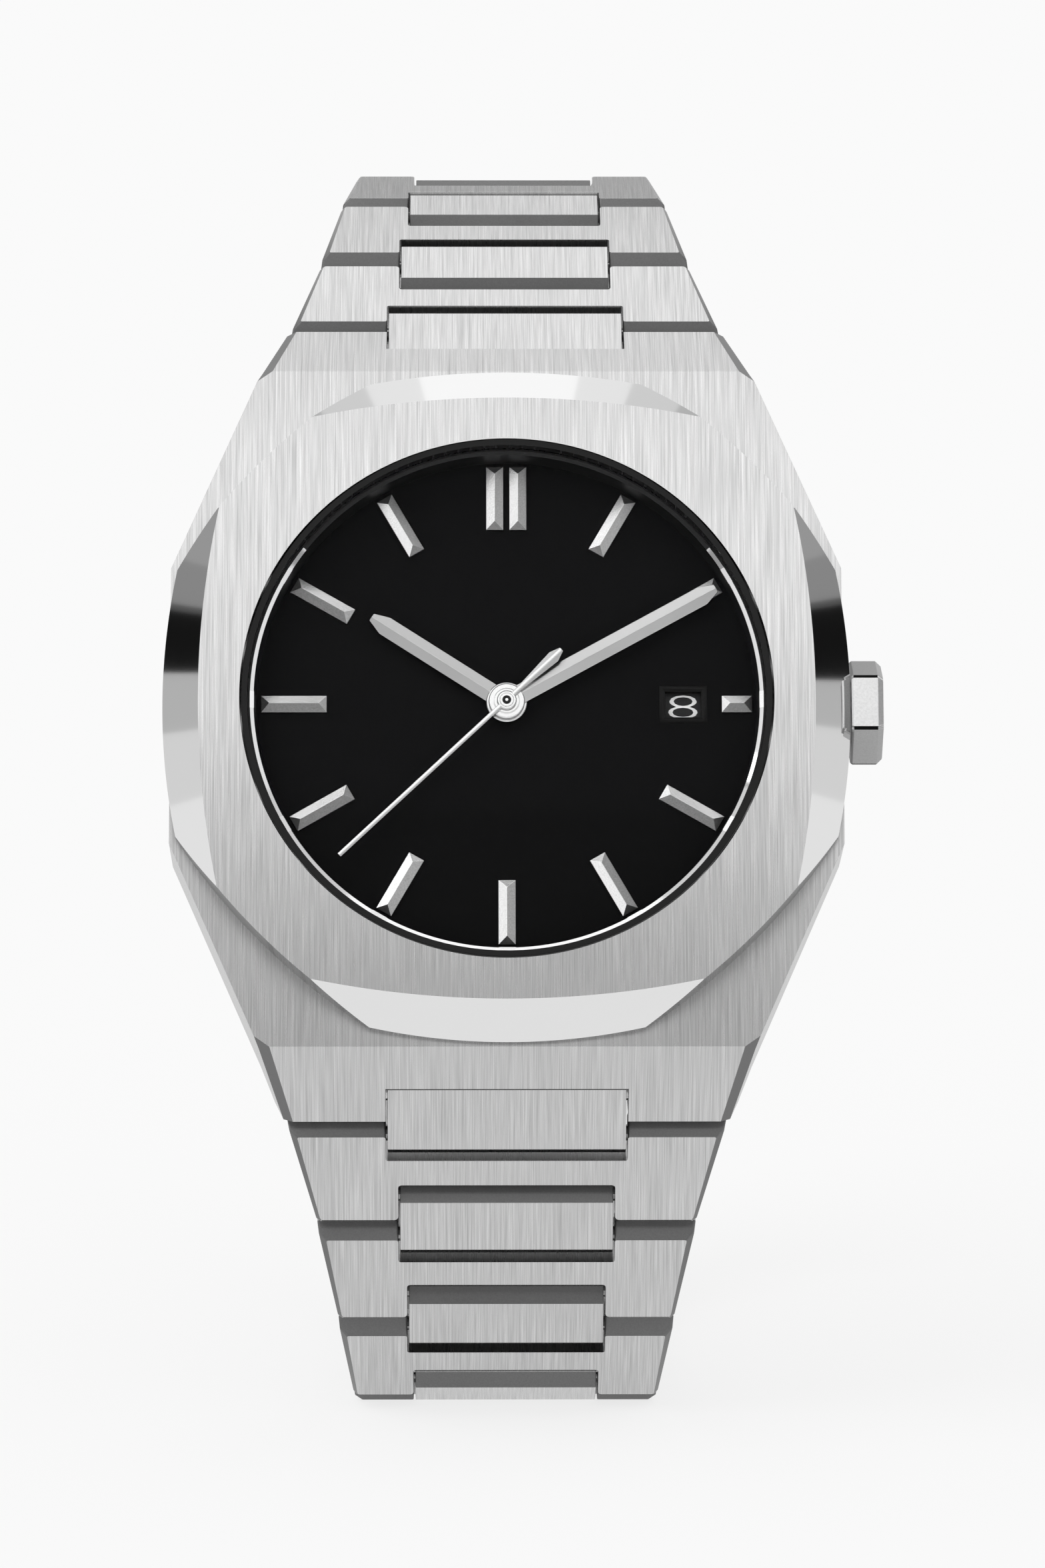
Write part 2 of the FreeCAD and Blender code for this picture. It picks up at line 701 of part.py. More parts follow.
def make_movement():
    """The movement's plate with its holding ring, the balance wheel and the winding rotor."""
    floor = "( 0 - dial_thickness - movement_height )"
    bed = "( 0 - dial_thickness - 2 * date_ring_gap - date_ring_thickness )"
    plate = round_piece(
        "movement_plate",
        HEAD,
        [
            ("hour_pipe_radius + pipe_play", floor),
            ("movement_radius", floor),
            ("movement_radius", "case_bottom_height + movement_back_room"),
            ("case_bore_radius - back_fit_gap", "case_bottom_height + movement_back_room"),
            ("case_bore_radius - back_fit_gap", "0 - dial_thickness"),
            ("date_ring_outer_radius + date_ring_play", "0 - dial_thickness"),
            ("date_ring_outer_radius + date_ring_play", bed),
            ("date_ring_inner_radius - date_ring_play", bed),
            ("date_ring_inner_radius - date_ring_play", "0 - dial_thickness"),
            ("hour_pipe_radius + pipe_play", "0 - dial_thickness"),
        ],
    )
    keyway = new_sketch(plate, "YZ_Plane")
    circle(keyway, "0", "crown_height", "stem_radius + pin_play")
    feature(plate, "Pocket", keyway, "case_half_width", backwards=True)
    arbor = new_sketch(plate, "XY_Plane", floor)
    circle(arbor, "0", "0", "rotor_hub_radius / 2")
    feature(plate, "Pad", arbor, f"{floor} - rotor_height - rotor_gap", backwards=True)
    wheel = new_body("balance_wheel", HEAD)
    rim = new_sketch(wheel, "XY_Plane", "balance_height")
    circle(rim, "0 - balance_reach", "0", "balance_radius")
    circle(rim, "0 - balance_reach", "0", "balance_radius - balance_rim_width")
    feature(wheel, "Pad", rim, "balance_thickness")
    arms = new_sketch(wheel, "XY_Plane", "balance_height")
    rectangle(
        arms,
        "0 - balance_reach - balance_radius + balance_rim_width / 2",
        "0 - balance_reach + balance_radius - balance_rim_width / 2",
        "0 - balance_arm_half_width",
        "balance_arm_half_width",
    )
    feature(wheel, "Pad", arms, "balance_thickness")
    staff = new_sketch(wheel, "XY_Plane", "balance_height - balance_staff_reach")
    circle(staff, "0 - balance_reach", "0", "balance_staff_radius")
    span = f"{floor} - balance_height + balance_staff_reach - balance_staff_gap"
    feature(wheel, "Pad", staff, span)
    rotor = new_body("winding_rotor", HEAD)
    weight = new_sketch(rotor, "XZ_Plane")
    top = "( rotor_height + rotor_thickness )"
    polygon(
        weight,
        [
            ("rotor_hub_radius / 2 + pin_play", "rotor_height"),
            ("rotor_radius", "rotor_height"),
            ("rotor_radius", f"{top} + rotor_rim_step"),
            ("rotor_radius - rotor_rim_width", f"{top} + rotor_rim_step"),
            ("rotor_radius - rotor_rim_width", top),
            ("rotor_hub_radius / 2 + pin_play", top),
        ],
    )
    turned(rotor, "Revolution", weight)
    half = new_sketch(rotor, "XY_Plane")
    polygon(
        half,
        [
            ("0 - rotor_radius - overcut", "rotor_radius + overcut"),
            ("0 - rotor_radius - overcut", "0"),
            ("0 - rotor_hub_radius", "0"),
            ("0 - rotor_hub_radius", "rotor_hub_radius"),
            ("rotor_hub_radius", "rotor_hub_radius"),
            ("rotor_hub_radius", "0"),
            ("rotor_radius + overcut", "0"),
            ("rotor_radius + overcut", "rotor_radius + overcut"),
        ],
    )
    feature(rotor, "Pocket", half, both_ways=True, through=True)


def make_baton(label, angle, length, height, hub, pipe_radius, bore):
    """The hour or the minute hand: a bar with a bevelled point, on its hub."""
    hand = new_body(label, pointing(angle))
    blade = new_sketch(hand, "XY_Plane", height)
    half = "hand_width / 2"
    polygon(
        blade,
        [
            (f"0 - {half}", "0"),
            (half, "0"),
            (half, f"{length} - hand_point_length"),
            ("hand_point_half_width", length),
            ("0 - hand_point_half_width", length),
            (f"0 - {half}", f"{length} - hand_point_length"),
        ],
    )
    feature(hand, "Pad", blade, "hand_thickness")
    boss = new_sketch(hand, "XY_Plane", height)
    circle(boss, "0", "0", hub)
    feature(hand, "Pad", boss, "hand_thickness")
    pipe = new_sketch(hand, "XY_Plane", "0 - dial_thickness - pipe_depth")
    circle(pipe, "0", "0", pipe_radius)
    feature(hand, "Pad", pipe, f"{height} + dial_thickness + pipe_depth")
    hole = new_sketch(hand, "XY_Plane")
    circle(hole, "0", "0", bore)
    feature(hand, "Pocket", hole, both_ways=True, through=True)


def make_hands():
    """The three hands on their concentric pipes."""
    make_baton(
        "hour_hand",
        HOUR_HAND_ANGLE,
        "hour_hand_length",
        "hour_hand_height",
        "hour_hub_radius",
        "hour_pipe_radius",
        "minute_pipe_radius + pin_play",
    )
    make_baton(
        "minute_hand",
        MINUTE_HAND_ANGLE,
        "minute_hand_length",
        "minute_hand_height",
        "minute_hub_radius",
        "minute_pipe_radius",
        "seconds_pivot_radius + pin_play",
    )
    sweep = new_body("seconds_hand", pointing(SECONDS_HAND_ANGLE))
    blade = new_sketch(sweep, "XY_Plane", "seconds_hand_height")
    half, tail = "seconds_hand_width / 2", "seconds_tail_width / 2"
    polygon(
        blade,
        [
            (half, "0 - seconds_neck"),
            (half, "seconds_hand_length"),
            (f"0 - {half}", "seconds_hand_length"),
            (f"0 - {half}", "0 - seconds_neck"),
            (f"0 - {tail}", "0 - seconds_tail_waist"),
            (f"0 - {half}", "0 - seconds_tail_length"),
            (half, "0 - seconds_tail_length"),
            (tail, "0 - seconds_tail_waist"),
        ],
    )
    feature(sweep, "Pad", blade, "hand_thickness")
    boss = new_sketch(sweep, "XY_Plane", "seconds_hand_height")
    circle(boss, "0", "0", "seconds_hub_radius")
    feature(sweep, "Pad", boss, "hand_thickness")
    pivot = new_sketch(sweep, "XY_Plane", "0 - dial_thickness - pivot_depth")
    circle(pivot, "0", "0", "seconds_pivot_radius")
    feature(sweep, "Pad", pivot, "seconds_hand_height + dial_thickness + pivot_depth")


def make_crown():
    """The six-sided crown with its ring seal, stem and the tube in the case's wall."""
    axis = HEAD.multiply(
        Placement(Vector(0, 0, number("crown_height")), Rotation(Vector(0, 1, 0), 90))
    )
    crown = new_body("crown", axis)
    knob = new_sketch(crown, "XY_Plane", CROWN_START)
    turns = [360 / CROWN_SIDES * (corner + 1 / 2) for corner in range(CROWN_SIDES)]
    radius = "crown_corner_radius"
    polygon(knob, [(f"{radius} * cos({turn})", f"{radius} * sin({turn})") for turn in turns])
    block = feature(crown, "Pad", knob, "crown_length")
    document.recompute()
    faces = block.Shape.Faces
    outer = max(range(len(faces)), key=lambda index: faces[index].CenterOfMass.z)
    bevel = crown.newObject("PartDesign::Chamfer", "crown_chamfer")
    bevel.Base = (block, [f"Face{outer + 1}"])
    bevel.Size = number("crown_bevel")
    bevel.setExpression("Size", named("crown_bevel"))
    skirt = new_sketch(crown, "XY_Plane", CROWN_START)
    circle(skirt, "0", "0", "crown_tube_radius + crown_skirt_play")
    feature(crown, "Pocket", skirt, "crown_skirt_depth", backwards=True)
    stem = new_body("winding_stem", axis)
    rod = new_sketch(stem, "XY_Plane", f"{CROWN_START} + crown_skirt_depth - stem_length")
    circle(rod, "0", "0", "stem_radius")
    feature(stem, "Pad", rod, "stem_length")
    ring = new_body("crown_gasket", axis)
    seat = f"( {CROWN_START} + crown_skirt_depth - crown_ring_thickness )"
    seal = new_sketch(ring, "XY_Plane", seat)
    circle(seal, "0", "0", "crown_tube_radius")
    circle(seal, "0", "0", "stem_radius + pin_play")
    feature(ring, "Pad", seal, "crown_ring_thickness")
    tube = new_body("crown_tube", axis)
    wall = new_sketch(tube, "XY_Plane", f"{seat} - crown_collar_gap")
    circle(wall, "0", "0", "crown_tube_radius")
    feature(tube, "Pad", wall, "crown_tube_depth", backwards=True)
    collar = new_sketch(tube, "XY_Plane", "case_half_width")
    circle(collar, "0", "0", "crown_collar_radius")
    feature(tube, "Pad", collar, f"{CROWN_START} - crown_collar_gap - case_half_width")
    passage = new_sketch(tube, "XY_Plane")
    circle(passage, "0", "0", "stem_radius + pin_play")
    feature(tube, "Pocket", passage, both_ways=True, through=True)


# ---------------------------------------------------------------- bracelet


def tapered(start, taper, station):
    """A width after so many links, each of which narrows the bracelet less than the one before."""
    return f"( {start} - {taper} * (1 - taper_decay ^ {station}) / (1 - taper_decay) )"


def link_width(station):
    """The bracelet's width at the joint after so many links."""
    return tapered("link_width_at_case", "link_first_taper", station)


def centre_width(station):
    """The width of the centre link at the joint after so many links."""
    return tapered("centre_width_at_case", "centre_first_taper", station)


def make_link(label, placement, number_on, far_pin):
    """One H-shaped link: two arms each way from a bridge, and the pins on which the centre links turn."""
    link = new_body(label, placement)
    half = "( ( link_pitch - link_gap ) / 2 )"
    face, under = "link_thickness / 2", "0 - link_thickness / 2"
    side = new_sketch(link, "YZ_Plane")
    polygon(
        side,
        [
            (f"0 - {half}", f"{face} - link_bevel"),
            (f"0 - {half} + link_bevel", face),
            (f"{half} - link_far_bevel", face),
            (half, f"{face} - link_far_bevel"),
            (half, "0 - relief_depth"),
            (f"{half} - link_relief", under),
            (f"0 - {half} + link_relief", under),
            (f"0 - {half}", "0 - relief_depth"),
        ],
    )
    near, far = link_width(number_on - 1), link_width(number_on)
    feature(link, "Pad", side, near, both_ways=True)
    plan = new_sketch(link, "XY_Plane")
    beyond, end = "link_width_at_case", f"( {half} + overcut )"
    for way in ("", "0 - "):
        polygon(
            plan,
            [
                (f"{way}{near} / 2", f"0 - {half}"),
                (f"{way}{far} / 2", half),
                (f"{way}{beyond}", half),
                (f"{way}{beyond}", f"0 - {half}"),
            ],
        )
    for way, station in (("0 - ", number_on - 1), ("", number_on)):
        edge = f"( {centre_width(station)} / 2 + side_play )"
        polygon(
            plan,
            [
                (f"0 - {edge}", f"{way}link_bridge / 2"),
                (edge, f"{way}link_bridge / 2"),
                (edge, f"{way}{end}"),
                (f"0 - {edge}", f"{way}{end}"),
            ],
        )
    feature(link, "Pocket", plan, both_ways=True, through=True)
    for way, station in (("0 - ", number_on - 1), ("", number_on)):
        if way == "" and not far_pin:
            continue
        pin = new_sketch(link, "YZ_Plane")
        circle(pin, f"{way}( link_pitch - pin_spacing ) / 2", "0", "pin_radius")
        held = f"{centre_width(station)} + 2 * side_play + 2 * pin_seat"
        feature(link, "Pad", pin, held, both_ways=True)


def make_centre(label, placement, station):
    """One centre link, which turns on a pin of the link on each side of it."""
    centre = new_body(label, placement)
    side = new_sketch(centre, "YZ_Plane")
    half, face, under = "centre_length / 2", "link_thickness / 2", "0 - link_thickness / 2"
    polygon(
        side,
        [
            (f"0 - {half}", f"{face} - centre_bevel"),
            (f"0 - {half} + centre_bevel", face),
            (f"{half} - centre_far_bevel", face),
            (half, f"{face} - centre_far_bevel"),
            (half, "0 - relief_depth"),
            (f"{half} - centre_relief", under),
            (f"0 - {half} + centre_relief", under),
            (f"0 - {half}", "0 - relief_depth"),
        ],
    )
    for way in ("0 - ", ""):
        circle(side, f"{way}pin_spacing / 2", "0", "pin_radius + pin_play")
    feature(centre, "Pad", side, centre_width(station), both_ways=True)


def make_side(name, pins, angles, turn, links, last_pin):
    """All of one side's links and centre links, from the case outwards."""
    for index, angle in enumerate(angles):
        middle = Placement((pins[index] + pins[index + 1]) / 2, turn(angle))
        station = index // 2
        if index % 2 == 0:
            make_centre(f"centre_{name}_{station:02d}", middle, station)
        else:
            far_pin = last_pin or station + 1 < links
            make_link(f"link_{name}_{station + 1:02d}", middle, station + 1, far_pin)


# ---------------------------------------------------------------- clasp


CLASP = Placement((LOW_PINS[-1] + TOP_PINS[-1]) / 2, below(CLASP_ANGLE))
CLASP_LINE = "( 2 * clasp_bow_radius * asin(clasp_chord / 2 / clasp_bow_radius) / 1 rad )"
BOW_DROP = "sqrt(clasp_bow_radius ^ 2 - clasp_chord ^ 2 / 4)"
FAR_FOLD = f"( {CLASP_LINE} - far_fold_inset )"


def bowed_point(place, offset):
    """A point of the clasp's side view: so far along the bowed line of its pins, and so far outside it."""
    turn = f"( ( {place} ) / clasp_bow_radius * 1 rad - asin(clasp_chord / 2 / clasp_bow_radius) )"
    reach = f"( clasp_bow_radius + ( {offset} ) )"
    return f"{reach} * sin{turn}", f"{reach} * cos{turn} - {BOW_DROP}"


def bowed_band(sketch, start, end, low, high):
    """A band of the clasp's bow in its side view, between two places along it and two offsets."""
    arcs = []
    for offset in (low, high):
        last, first = (bowed_point(place, offset)[0] for place in (end, start))
        radius, drop = number(f"clasp_bow_radius + {offset}"), number(BOW_DROP)
        angles = (math.acos(number(x) / radius) for x in (last, first))
        ring = Part.Circle(Vector(0, -drop, 0), Vector(0, 0, 1), radius)
        arc = sketch.addGeometry(Part.ArcOfCircle(ring, *angles), False)
        hold(sketch, "DistanceX", arc, 3, "0")
        hold(sketch, "DistanceY", arc, 3, f"0 - {BOW_DROP}")
        held = sketch.addConstraint(Sketcher.Constraint("Radius", arc, radius))
        sketch.setExpression(f"Constraints[{held}]", named(f"clasp_bow_radius + {offset}"))
        hold(sketch, "DistanceX", arc, 1, last)
        hold(sketch, "DistanceX", arc, 2, first)
        arcs.append(arc)
    for point in (1, 2):
        ends = [sketch.getPoint(arc, point) for arc in arcs]
        line = sketch.addGeometry(Part.LineSegment(*ends), False)
        for side, arc in enumerate(arcs, start=1):
            sketch.addConstraint(Sketcher.Constraint("Coincident", line, side, arc, point))


def plate(body, start, end, low, high, width, left=None):
    """A plate bent to the clasp's bow, in the middle of the clasp or starting at a place across it."""
    side = new_sketch(body, "YZ_Plane", left)
    bowed_band(side, start, end, low, high)
    return feature(body, "Pad", side, width, both_ways=left is None)


def bar(body, kind, place, offset, radius, width, left=None):
    """A round bar or bore across the clasp."""
    side = new_sketch(body, "YZ_Plane", left)
    circle(side, *bowed_point(place, offset), radius)
    if kind == "Pocket":
        return feature(body, kind, side, both_ways=True, through=True)
    return feature(body, kind, side, width, both_ways=left is None)


def make_cover():
    """The clasp's cover: a channel over the folded blades, with a tongue to the last upper link."""
    cover = new_body("clasp_cover", CLASP)
    near, half = ("near_fold_inset", "near_fold_offset"), "clasp_width / 2"
    skin = ("cover_inner_offset", "cover_outer_offset")
    end = f"{CLASP_LINE} - cover_end_inset"
    plate(cover, "cover_start_inset", end, *skin, "clasp_width")
    for left in (f"0 - {half}", f"{half} - clasp_wall"):
        plate(
            cover,
            "cover_start_inset",
            FAR_FOLD,
            "cover_foot_offset",
            "cover_outer_offset",
            "clasp_wall",
            left,
        )
        bar(cover, "Pad", *near, "ear_radius", "clasp_wall", left)
    bar(cover, "Pad", *near, "clasp_pin_radius", "clasp_width")
    tongue, tip = centre_width(LINKS_ABOVE), f"{CLASP_LINE} - tongue_gap"
    plate(cover, FAR_FOLD, tip, *skin, tongue)
    block = f"{CLASP_LINE} - tongue_block_inset"
    plate(cover, block, tip, "tongue_foot_offset", "cover_outer_offset", tongue)
    bar(cover, "Pad", CLASP_LINE, "0", "( centre_length - pin_spacing ) / 2", tongue)
    slots = new_sketch(cover, "YZ_Plane")
    bowed_band(slots, *button_band("button_play"))
    feature(cover, "Pocket", slots, both_ways=True, through=True)


def make_outer_blade():
    """The blade hinged to the cover at the lower end and to the inner blade at the upper end."""
    blade = new_body("clasp_outer_blade", CLASP)
    layer = ("outer_blade_top_offset - outer_blade_thickness", "outer_blade_top_offset")
    near, far = ("near_fold_inset", "near_fold_offset"), (FAR_FOLD, "far_fold_offset")
    end = f"{FAR_FOLD} - far_knuckle_radius - fold_room"
    plate(blade, "near_fold_inset", end, *layer, "blade_width")
    plate(blade, f"{end} - blade_lap", FAR_FOLD, *layer, "blade_width / 3")
    bar(blade, "Pad", *near, "near_knuckle_radius", "blade_width")
    bar(blade, "Pad", *far, "far_knuckle_radius", "blade_width / 3")
    for fold in (near, far):
        bar(blade, "Pocket", *fold, "clasp_pin_radius + pin_play", None)


def make_inner_blade():
    """The blade with a block on the last lower link's pin, forked round the outer blade's knuckle."""
    blade = new_body("clasp_inner_blade", CLASP)
    layer = ("inner_blade_top_offset - inner_blade_thickness", "inner_blade_top_offset")
    far = (FAR_FOLD, "far_fold_offset")
    end = f"{FAR_FOLD} - far_knuckle_radius - fold_room"
    block = centre_width(LINKS_BELOW)
    plate(blade, "block_length - block_lap", "blade_start_inset + blade_lap", *layer, block)
    plate(blade, "blade_start_inset", end, *layer, "blade_width")
    cheek = "( blade_width / 3 - pin_play )"
    for left in ("0 - blade_width / 2", "blade_width / 6 + pin_play"):
        plate(blade, f"{end} - blade_lap", FAR_FOLD, *layer, cheek, left)
        bar(blade, "Pad", *far, "far_knuckle_radius", cheek, left)
    bar(blade, "Pad", *far, "clasp_pin_radius", "blade_width")
    plate(blade, "0", "block_length", "0 - block_half_height", "block_half_height", block)
    bar(blade, "Pad", "0", "0", "( centre_length - pin_spacing ) / 2", block)
    bar(blade, "Pocket", "0", "0", "pin_radius + pin_play", None)


def button_band(grow):
    """The side view of a push button, grown all round."""
    along, up = f"( button_length / 2 + {grow} )", f"( button_height / 2 + {grow} )"
    return (
        f"button_inset - {along}",
        f"button_inset + {along}",
        f"( button_offset - {up} )",
        f"( button_offset + {up} )",
    )


def make_buttons():
    """The push buttons through the cover's sides, each with a flange that keeps it in."""
    for name, way in (("left", "0 - "), ("right", "")):
        button = new_body(f"clasp_button_{name}", CLASP)
        plane = f"{way}( clasp_width / 2 - clasp_wall )"
        cap = new_sketch(button, "YZ_Plane", plane)
        bowed_band(cap, *button_band("0"))
        feature(button, "Pad", cap, "clasp_wall + button_proud", backwards=name == "left")
        flange = new_sketch(button, "YZ_Plane", plane)
        bowed_band(flange, *button_band("button_flange_rim"))
        feature(button, "Pad", flange, "button_flange", backwards=name == "right")


# ---------------------------------------------------------------- the whole watch


def export():
    """Recomputes the document, tests every object and writes each sub-part to its own file."""
    document.recompute()
    failed = [o.Name for o in document.Objects if {"Invalid", "Error"} & set(o.State)]
    if failed:
        raise SystemExit(f"failed: {failed}")
    for piece in subparts:
        if piece.Shape.isNull() or not piece.Shape.isValid():
            raise SystemExit(f"{piece.Label} has no valid shape")
    os.makedirs("parts", exist_ok=True)
    for piece in subparts:
        piece.Shape.exportStep(f"parts/{piece.Label}.step")
        print(piece.Label, len(piece.Shape.Solids), round(piece.Shape.Volume, 1))


make_case()
make_bezel()
make_case_pieces()
make_dial()
make_movement()
make_hands()
make_crown()
make_side("upper", TOP_PINS, TOP_ANGLES, above, LINKS_ABOVE, False)
make_side("lower", LOW_PINS, LOW_ANGLES, below, LINKS_BELOW, True)
make_cover()
make_outer_blade()
make_inner_blade()
make_buttons()
export()
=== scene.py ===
"""A steel bracelet wristwatch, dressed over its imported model.

Lengths in the classes are in millimetres in each sub-part's own frame, as a watchmaker gives them. A mesh is
in metres in the model's frame. The head's frame is X to three o'clock, Y to twelve, Z out of the dial. A
bracelet piece's frame is X across, Y along the bracelet away from the head, Z out of the wrist.
"""

import json
import logging
import math
from dataclasses import dataclass
from enum import Enum
from typing import Callable, Sequence

import bmesh
import bpy
import numpy as np
from mathutils import Matrix, Vector


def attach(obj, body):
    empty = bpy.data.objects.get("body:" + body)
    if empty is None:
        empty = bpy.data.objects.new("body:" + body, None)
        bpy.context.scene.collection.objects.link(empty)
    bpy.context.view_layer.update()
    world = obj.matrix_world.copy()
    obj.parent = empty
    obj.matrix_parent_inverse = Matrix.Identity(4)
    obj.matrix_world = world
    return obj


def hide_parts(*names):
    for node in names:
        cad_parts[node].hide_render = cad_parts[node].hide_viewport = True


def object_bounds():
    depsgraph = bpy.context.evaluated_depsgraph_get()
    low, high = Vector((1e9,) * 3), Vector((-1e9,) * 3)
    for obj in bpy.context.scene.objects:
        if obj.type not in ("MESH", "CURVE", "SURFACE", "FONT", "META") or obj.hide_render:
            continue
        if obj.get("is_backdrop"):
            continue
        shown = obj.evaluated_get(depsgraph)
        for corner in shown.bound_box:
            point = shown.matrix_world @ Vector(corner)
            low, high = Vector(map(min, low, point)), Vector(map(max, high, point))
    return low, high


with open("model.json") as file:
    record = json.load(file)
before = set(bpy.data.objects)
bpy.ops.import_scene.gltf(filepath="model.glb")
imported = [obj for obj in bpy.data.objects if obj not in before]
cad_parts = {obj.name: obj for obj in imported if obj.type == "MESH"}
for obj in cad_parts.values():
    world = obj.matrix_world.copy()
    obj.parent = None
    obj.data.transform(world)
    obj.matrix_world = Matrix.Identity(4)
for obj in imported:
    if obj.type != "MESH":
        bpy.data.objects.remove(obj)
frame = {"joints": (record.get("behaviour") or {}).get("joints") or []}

Array = np.ndarray
MM = 0.001
LOG = logging.getLogger("wristwatch")

OVERCUT = 1.0
"""How far, in millimetres, a cutter reaches past what it cuts."""
WALL = 0.3
"""A face whose normal rises less than this, either way, is a wall."""
LEVEL = 0.9
"""A face whose normal rises more than this is level."""
END_LEAN, FLANK_LEAN = 0.8, 0.7
"""How far a normal leans along Y on a piece's ends, and along X on its flanks."""
GRAIN_STEP = 37.0
"""How far one piece's grain is moved from the last one's, in millimetres."""
SHARP_ANGLE = math.radians(25)
"""The angle from which an edge is sharp, and is broken."""

LOADED_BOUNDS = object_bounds()


# ---------------------------------------------------------------- frames


@dataclass(frozen=True)
class Seat:
    """Where a sub-part's own frame stands: its origin in millimetres and its axes as columns."""

    origin: Array
    axes: Array

    def matrix(self) -> Matrix:
        """The seat as a matrix from the sub-part's millimetres to the model's metres.

        Returns:
            The matrix.
        """
        whole = np.eye(4)
        whole[:3, :3] = self.axes * MM
        whole[:3, 3] = self.origin * MM
        return Matrix(whole.tolist())

    def turned(self, degrees: float) -> "Seat":
        """This seat with its frame turned clockwise, seen from its own +Z.

        Args:
            degrees: how far it is turned.

        Returns:
            The turned seat.
        """
        angle = math.radians(-degrees)
        turn = np.array(
            [[math.cos(angle), -math.sin(angle), 0], [math.sin(angle), math.cos(angle), 0], [0, 0, 1]]
        )
        return Seat(self.origin, self.axes @ turn)


def unit(vector: Array) -> Array:
    """Returns a vector at length one."""
    return vector / np.linalg.norm(vector)


def joint_named(name: str) -> dict:
    """Returns the frame's joint of that name."""
    return next(joint for joint in frame["joints"] if joint["name"] == name)


def pivot(name: str) -> Array:
    """Returns the point that a hinge turns about, in millimetres."""
    return np.array(joint_named(name)["pos_m"]) / MM


def head_seat() -> Seat:
    """The head's frame, from the axis that the hands turn on.

    Returns:
        The seat.
    """
    hands = joint_named("seconds_hand_turn")
    out = -unit(np.array(hands["axis"]))
    right = np.array([1.0, 0.0, 0.0])
    return Seat(pivot("seconds_hand_turn"), np.column_stack([right, np.cross(out, right), out]))


def strand_seat(near: Array, far: Array, side: float) -> Seat:
    """A bracelet piece's frame, halfway between its two pins.

    Args:
        near: the pin nearer the head, in millimetres.
        far: the pin further from the head.
        side: 1 above the head and -1 below it, where the piece's X points the other way.

    Returns:
        The seat.
    """
    across = np.array([side, 0.0, 0.0])
    along = unit(far - near)
    return Seat((near + far) / 2, np.column_stack([across, along, np.cross(across, along)]))


# ---------------------------------------------------------------- solids


@dataclass
class Solid:
    """A closed shape: points in millimetres and faces as indices of points."""

    points: Array
    faces: list

    def __add__(self, other: "Solid") -> "Solid":
        """Both solids as one shape of several shells.

        Args:
            other: the solid that is added.

        Returns:
            The shape.
        """
        shift = len(self.points)
        moved = [tuple(index + shift for index in face) for face in other.faces]
        return Solid(np.vstack([self.points, other.points]), self.faces + moved)

    def moved(self, x: float = 0.0, y: float = 0.0, z: float = 0.0) -> "Solid":
        """Returns the solid moved."""
        return Solid(self.points + np.array([x, y, z]), self.faces)

    def spun(self, degrees: float) -> "Solid":
        """The solid turned clockwise about Z.

        Args:
            degrees: how far it is turned.

        Returns:
            The turned solid.
        """
        angle = math.radians(-degrees)
        cos, sin = math.cos(angle), math.sin(angle)
        turn = np.array([[cos, -sin, 0], [sin, cos, 0], [0, 0, 1]])
        return Solid(self.points @ turn.T, self.faces)


def grid_quads(rows: int, columns: int, round_rows: bool, round_columns: bool) -> Array:
    """The quads of a grid of points, joined round where asked.

    Each quad is the point at (row, column) with its three neighbours in the next row and column.

    Args:
        rows: the number of rows.
        columns: the number of columns.
        round_rows: whether the last row meets the first.
        round_columns: whether the last column meets the first.

    Returns:
        The quads as an array of four indices each.
    """
    row = np.arange(rows if round_rows else rows - 1)
    column = np.arange(columns if round_columns else columns - 1)
    r, c = np.meshgrid(row, column, indexing="ij")
    down, across = (r + 1) % rows, (c + 1) % columns
    quads = [r * columns + c, r * columns + across, down * columns + across, down * columns + c]
    return np.stack([q.ravel() for q in quads], axis=1)


def loft(levels: Array) -> Solid:
    """A solid through closed outlines, one above the other, capped at both ends.

    Args:
        levels: an array of outlines, each with the same number of points.

    Returns:
        The solid.
    """
    count, size = levels.shape[:2]
    quads = [tuple(q) for q in grid_quads(count, size, False, True)]
    low = tuple(range(size))[::-1]
    high = tuple(range((count - 1) * size, count * size))
    return Solid(levels.reshape(-1, 3), quads + [low, high])


def turned(profile: Sequence[tuple[float, float]], steps: int = 128) -> Solid:
    """A solid turned about Z: each point of the profile (r, z) goes to (r cos a, r sin a, z).

    Args:
        profile: a closed outline of radius and height. Points on the axis close it.
        steps: how many places round the turn.

    Returns:
        The solid.
    """
    outline = np.array(profile, dtype=float)
    angle = np.linspace(0, 2 * np.pi, steps, endpoint=False)
    radius, height = outline[:, 0], outline[:, 1]
    points = np.stack(
        [
            np.outer(np.cos(angle), radius),
            np.outer(np.sin(angle), radius),
            np.broadcast_to(height, (steps, len(outline))),
        ],
        axis=2,
    )
    return Solid(points.reshape(-1, 3), [tuple(q) for q in grid_quads(steps, len(outline), True, True)])


def rounded(corners: Array, radii: Sequence[float], steps: int = 4) -> Array:
    """A closed outline with its corners rounded.

    Each corner is replaced by points of the parabola through both ends of its arc, with the corner as its
    control point: (1-t)^2 a + 2t(1-t) c + t^2 b, which is close to a circle's arc.

    Args:
        corners: the corners in order.
        radii: how far each round starts from its corner.
        steps: how many spans each round has.

    Returns:
        The outline's points.
    """
    before, after = np.roll(corners, 1, axis=0), np.roll(corners, -1, axis=0)
    reach = np.asarray(radii, dtype=float)[:, None]
    start = corners + (before - corners) / np.linalg.norm(before - corners, axis=1)[:, None] * reach
    end = corners + (after - corners) / np.linalg.norm(after - corners, axis=1)[:, None] * reach
    t = np.linspace(0, 1, steps + 1)[None, :, None]
    arcs = (1 - t) ** 2 * start[:, None] + 2 * t * (1 - t) * corners[:, None] + t**2 * end[:, None]
    return arcs.reshape(-1, 2)


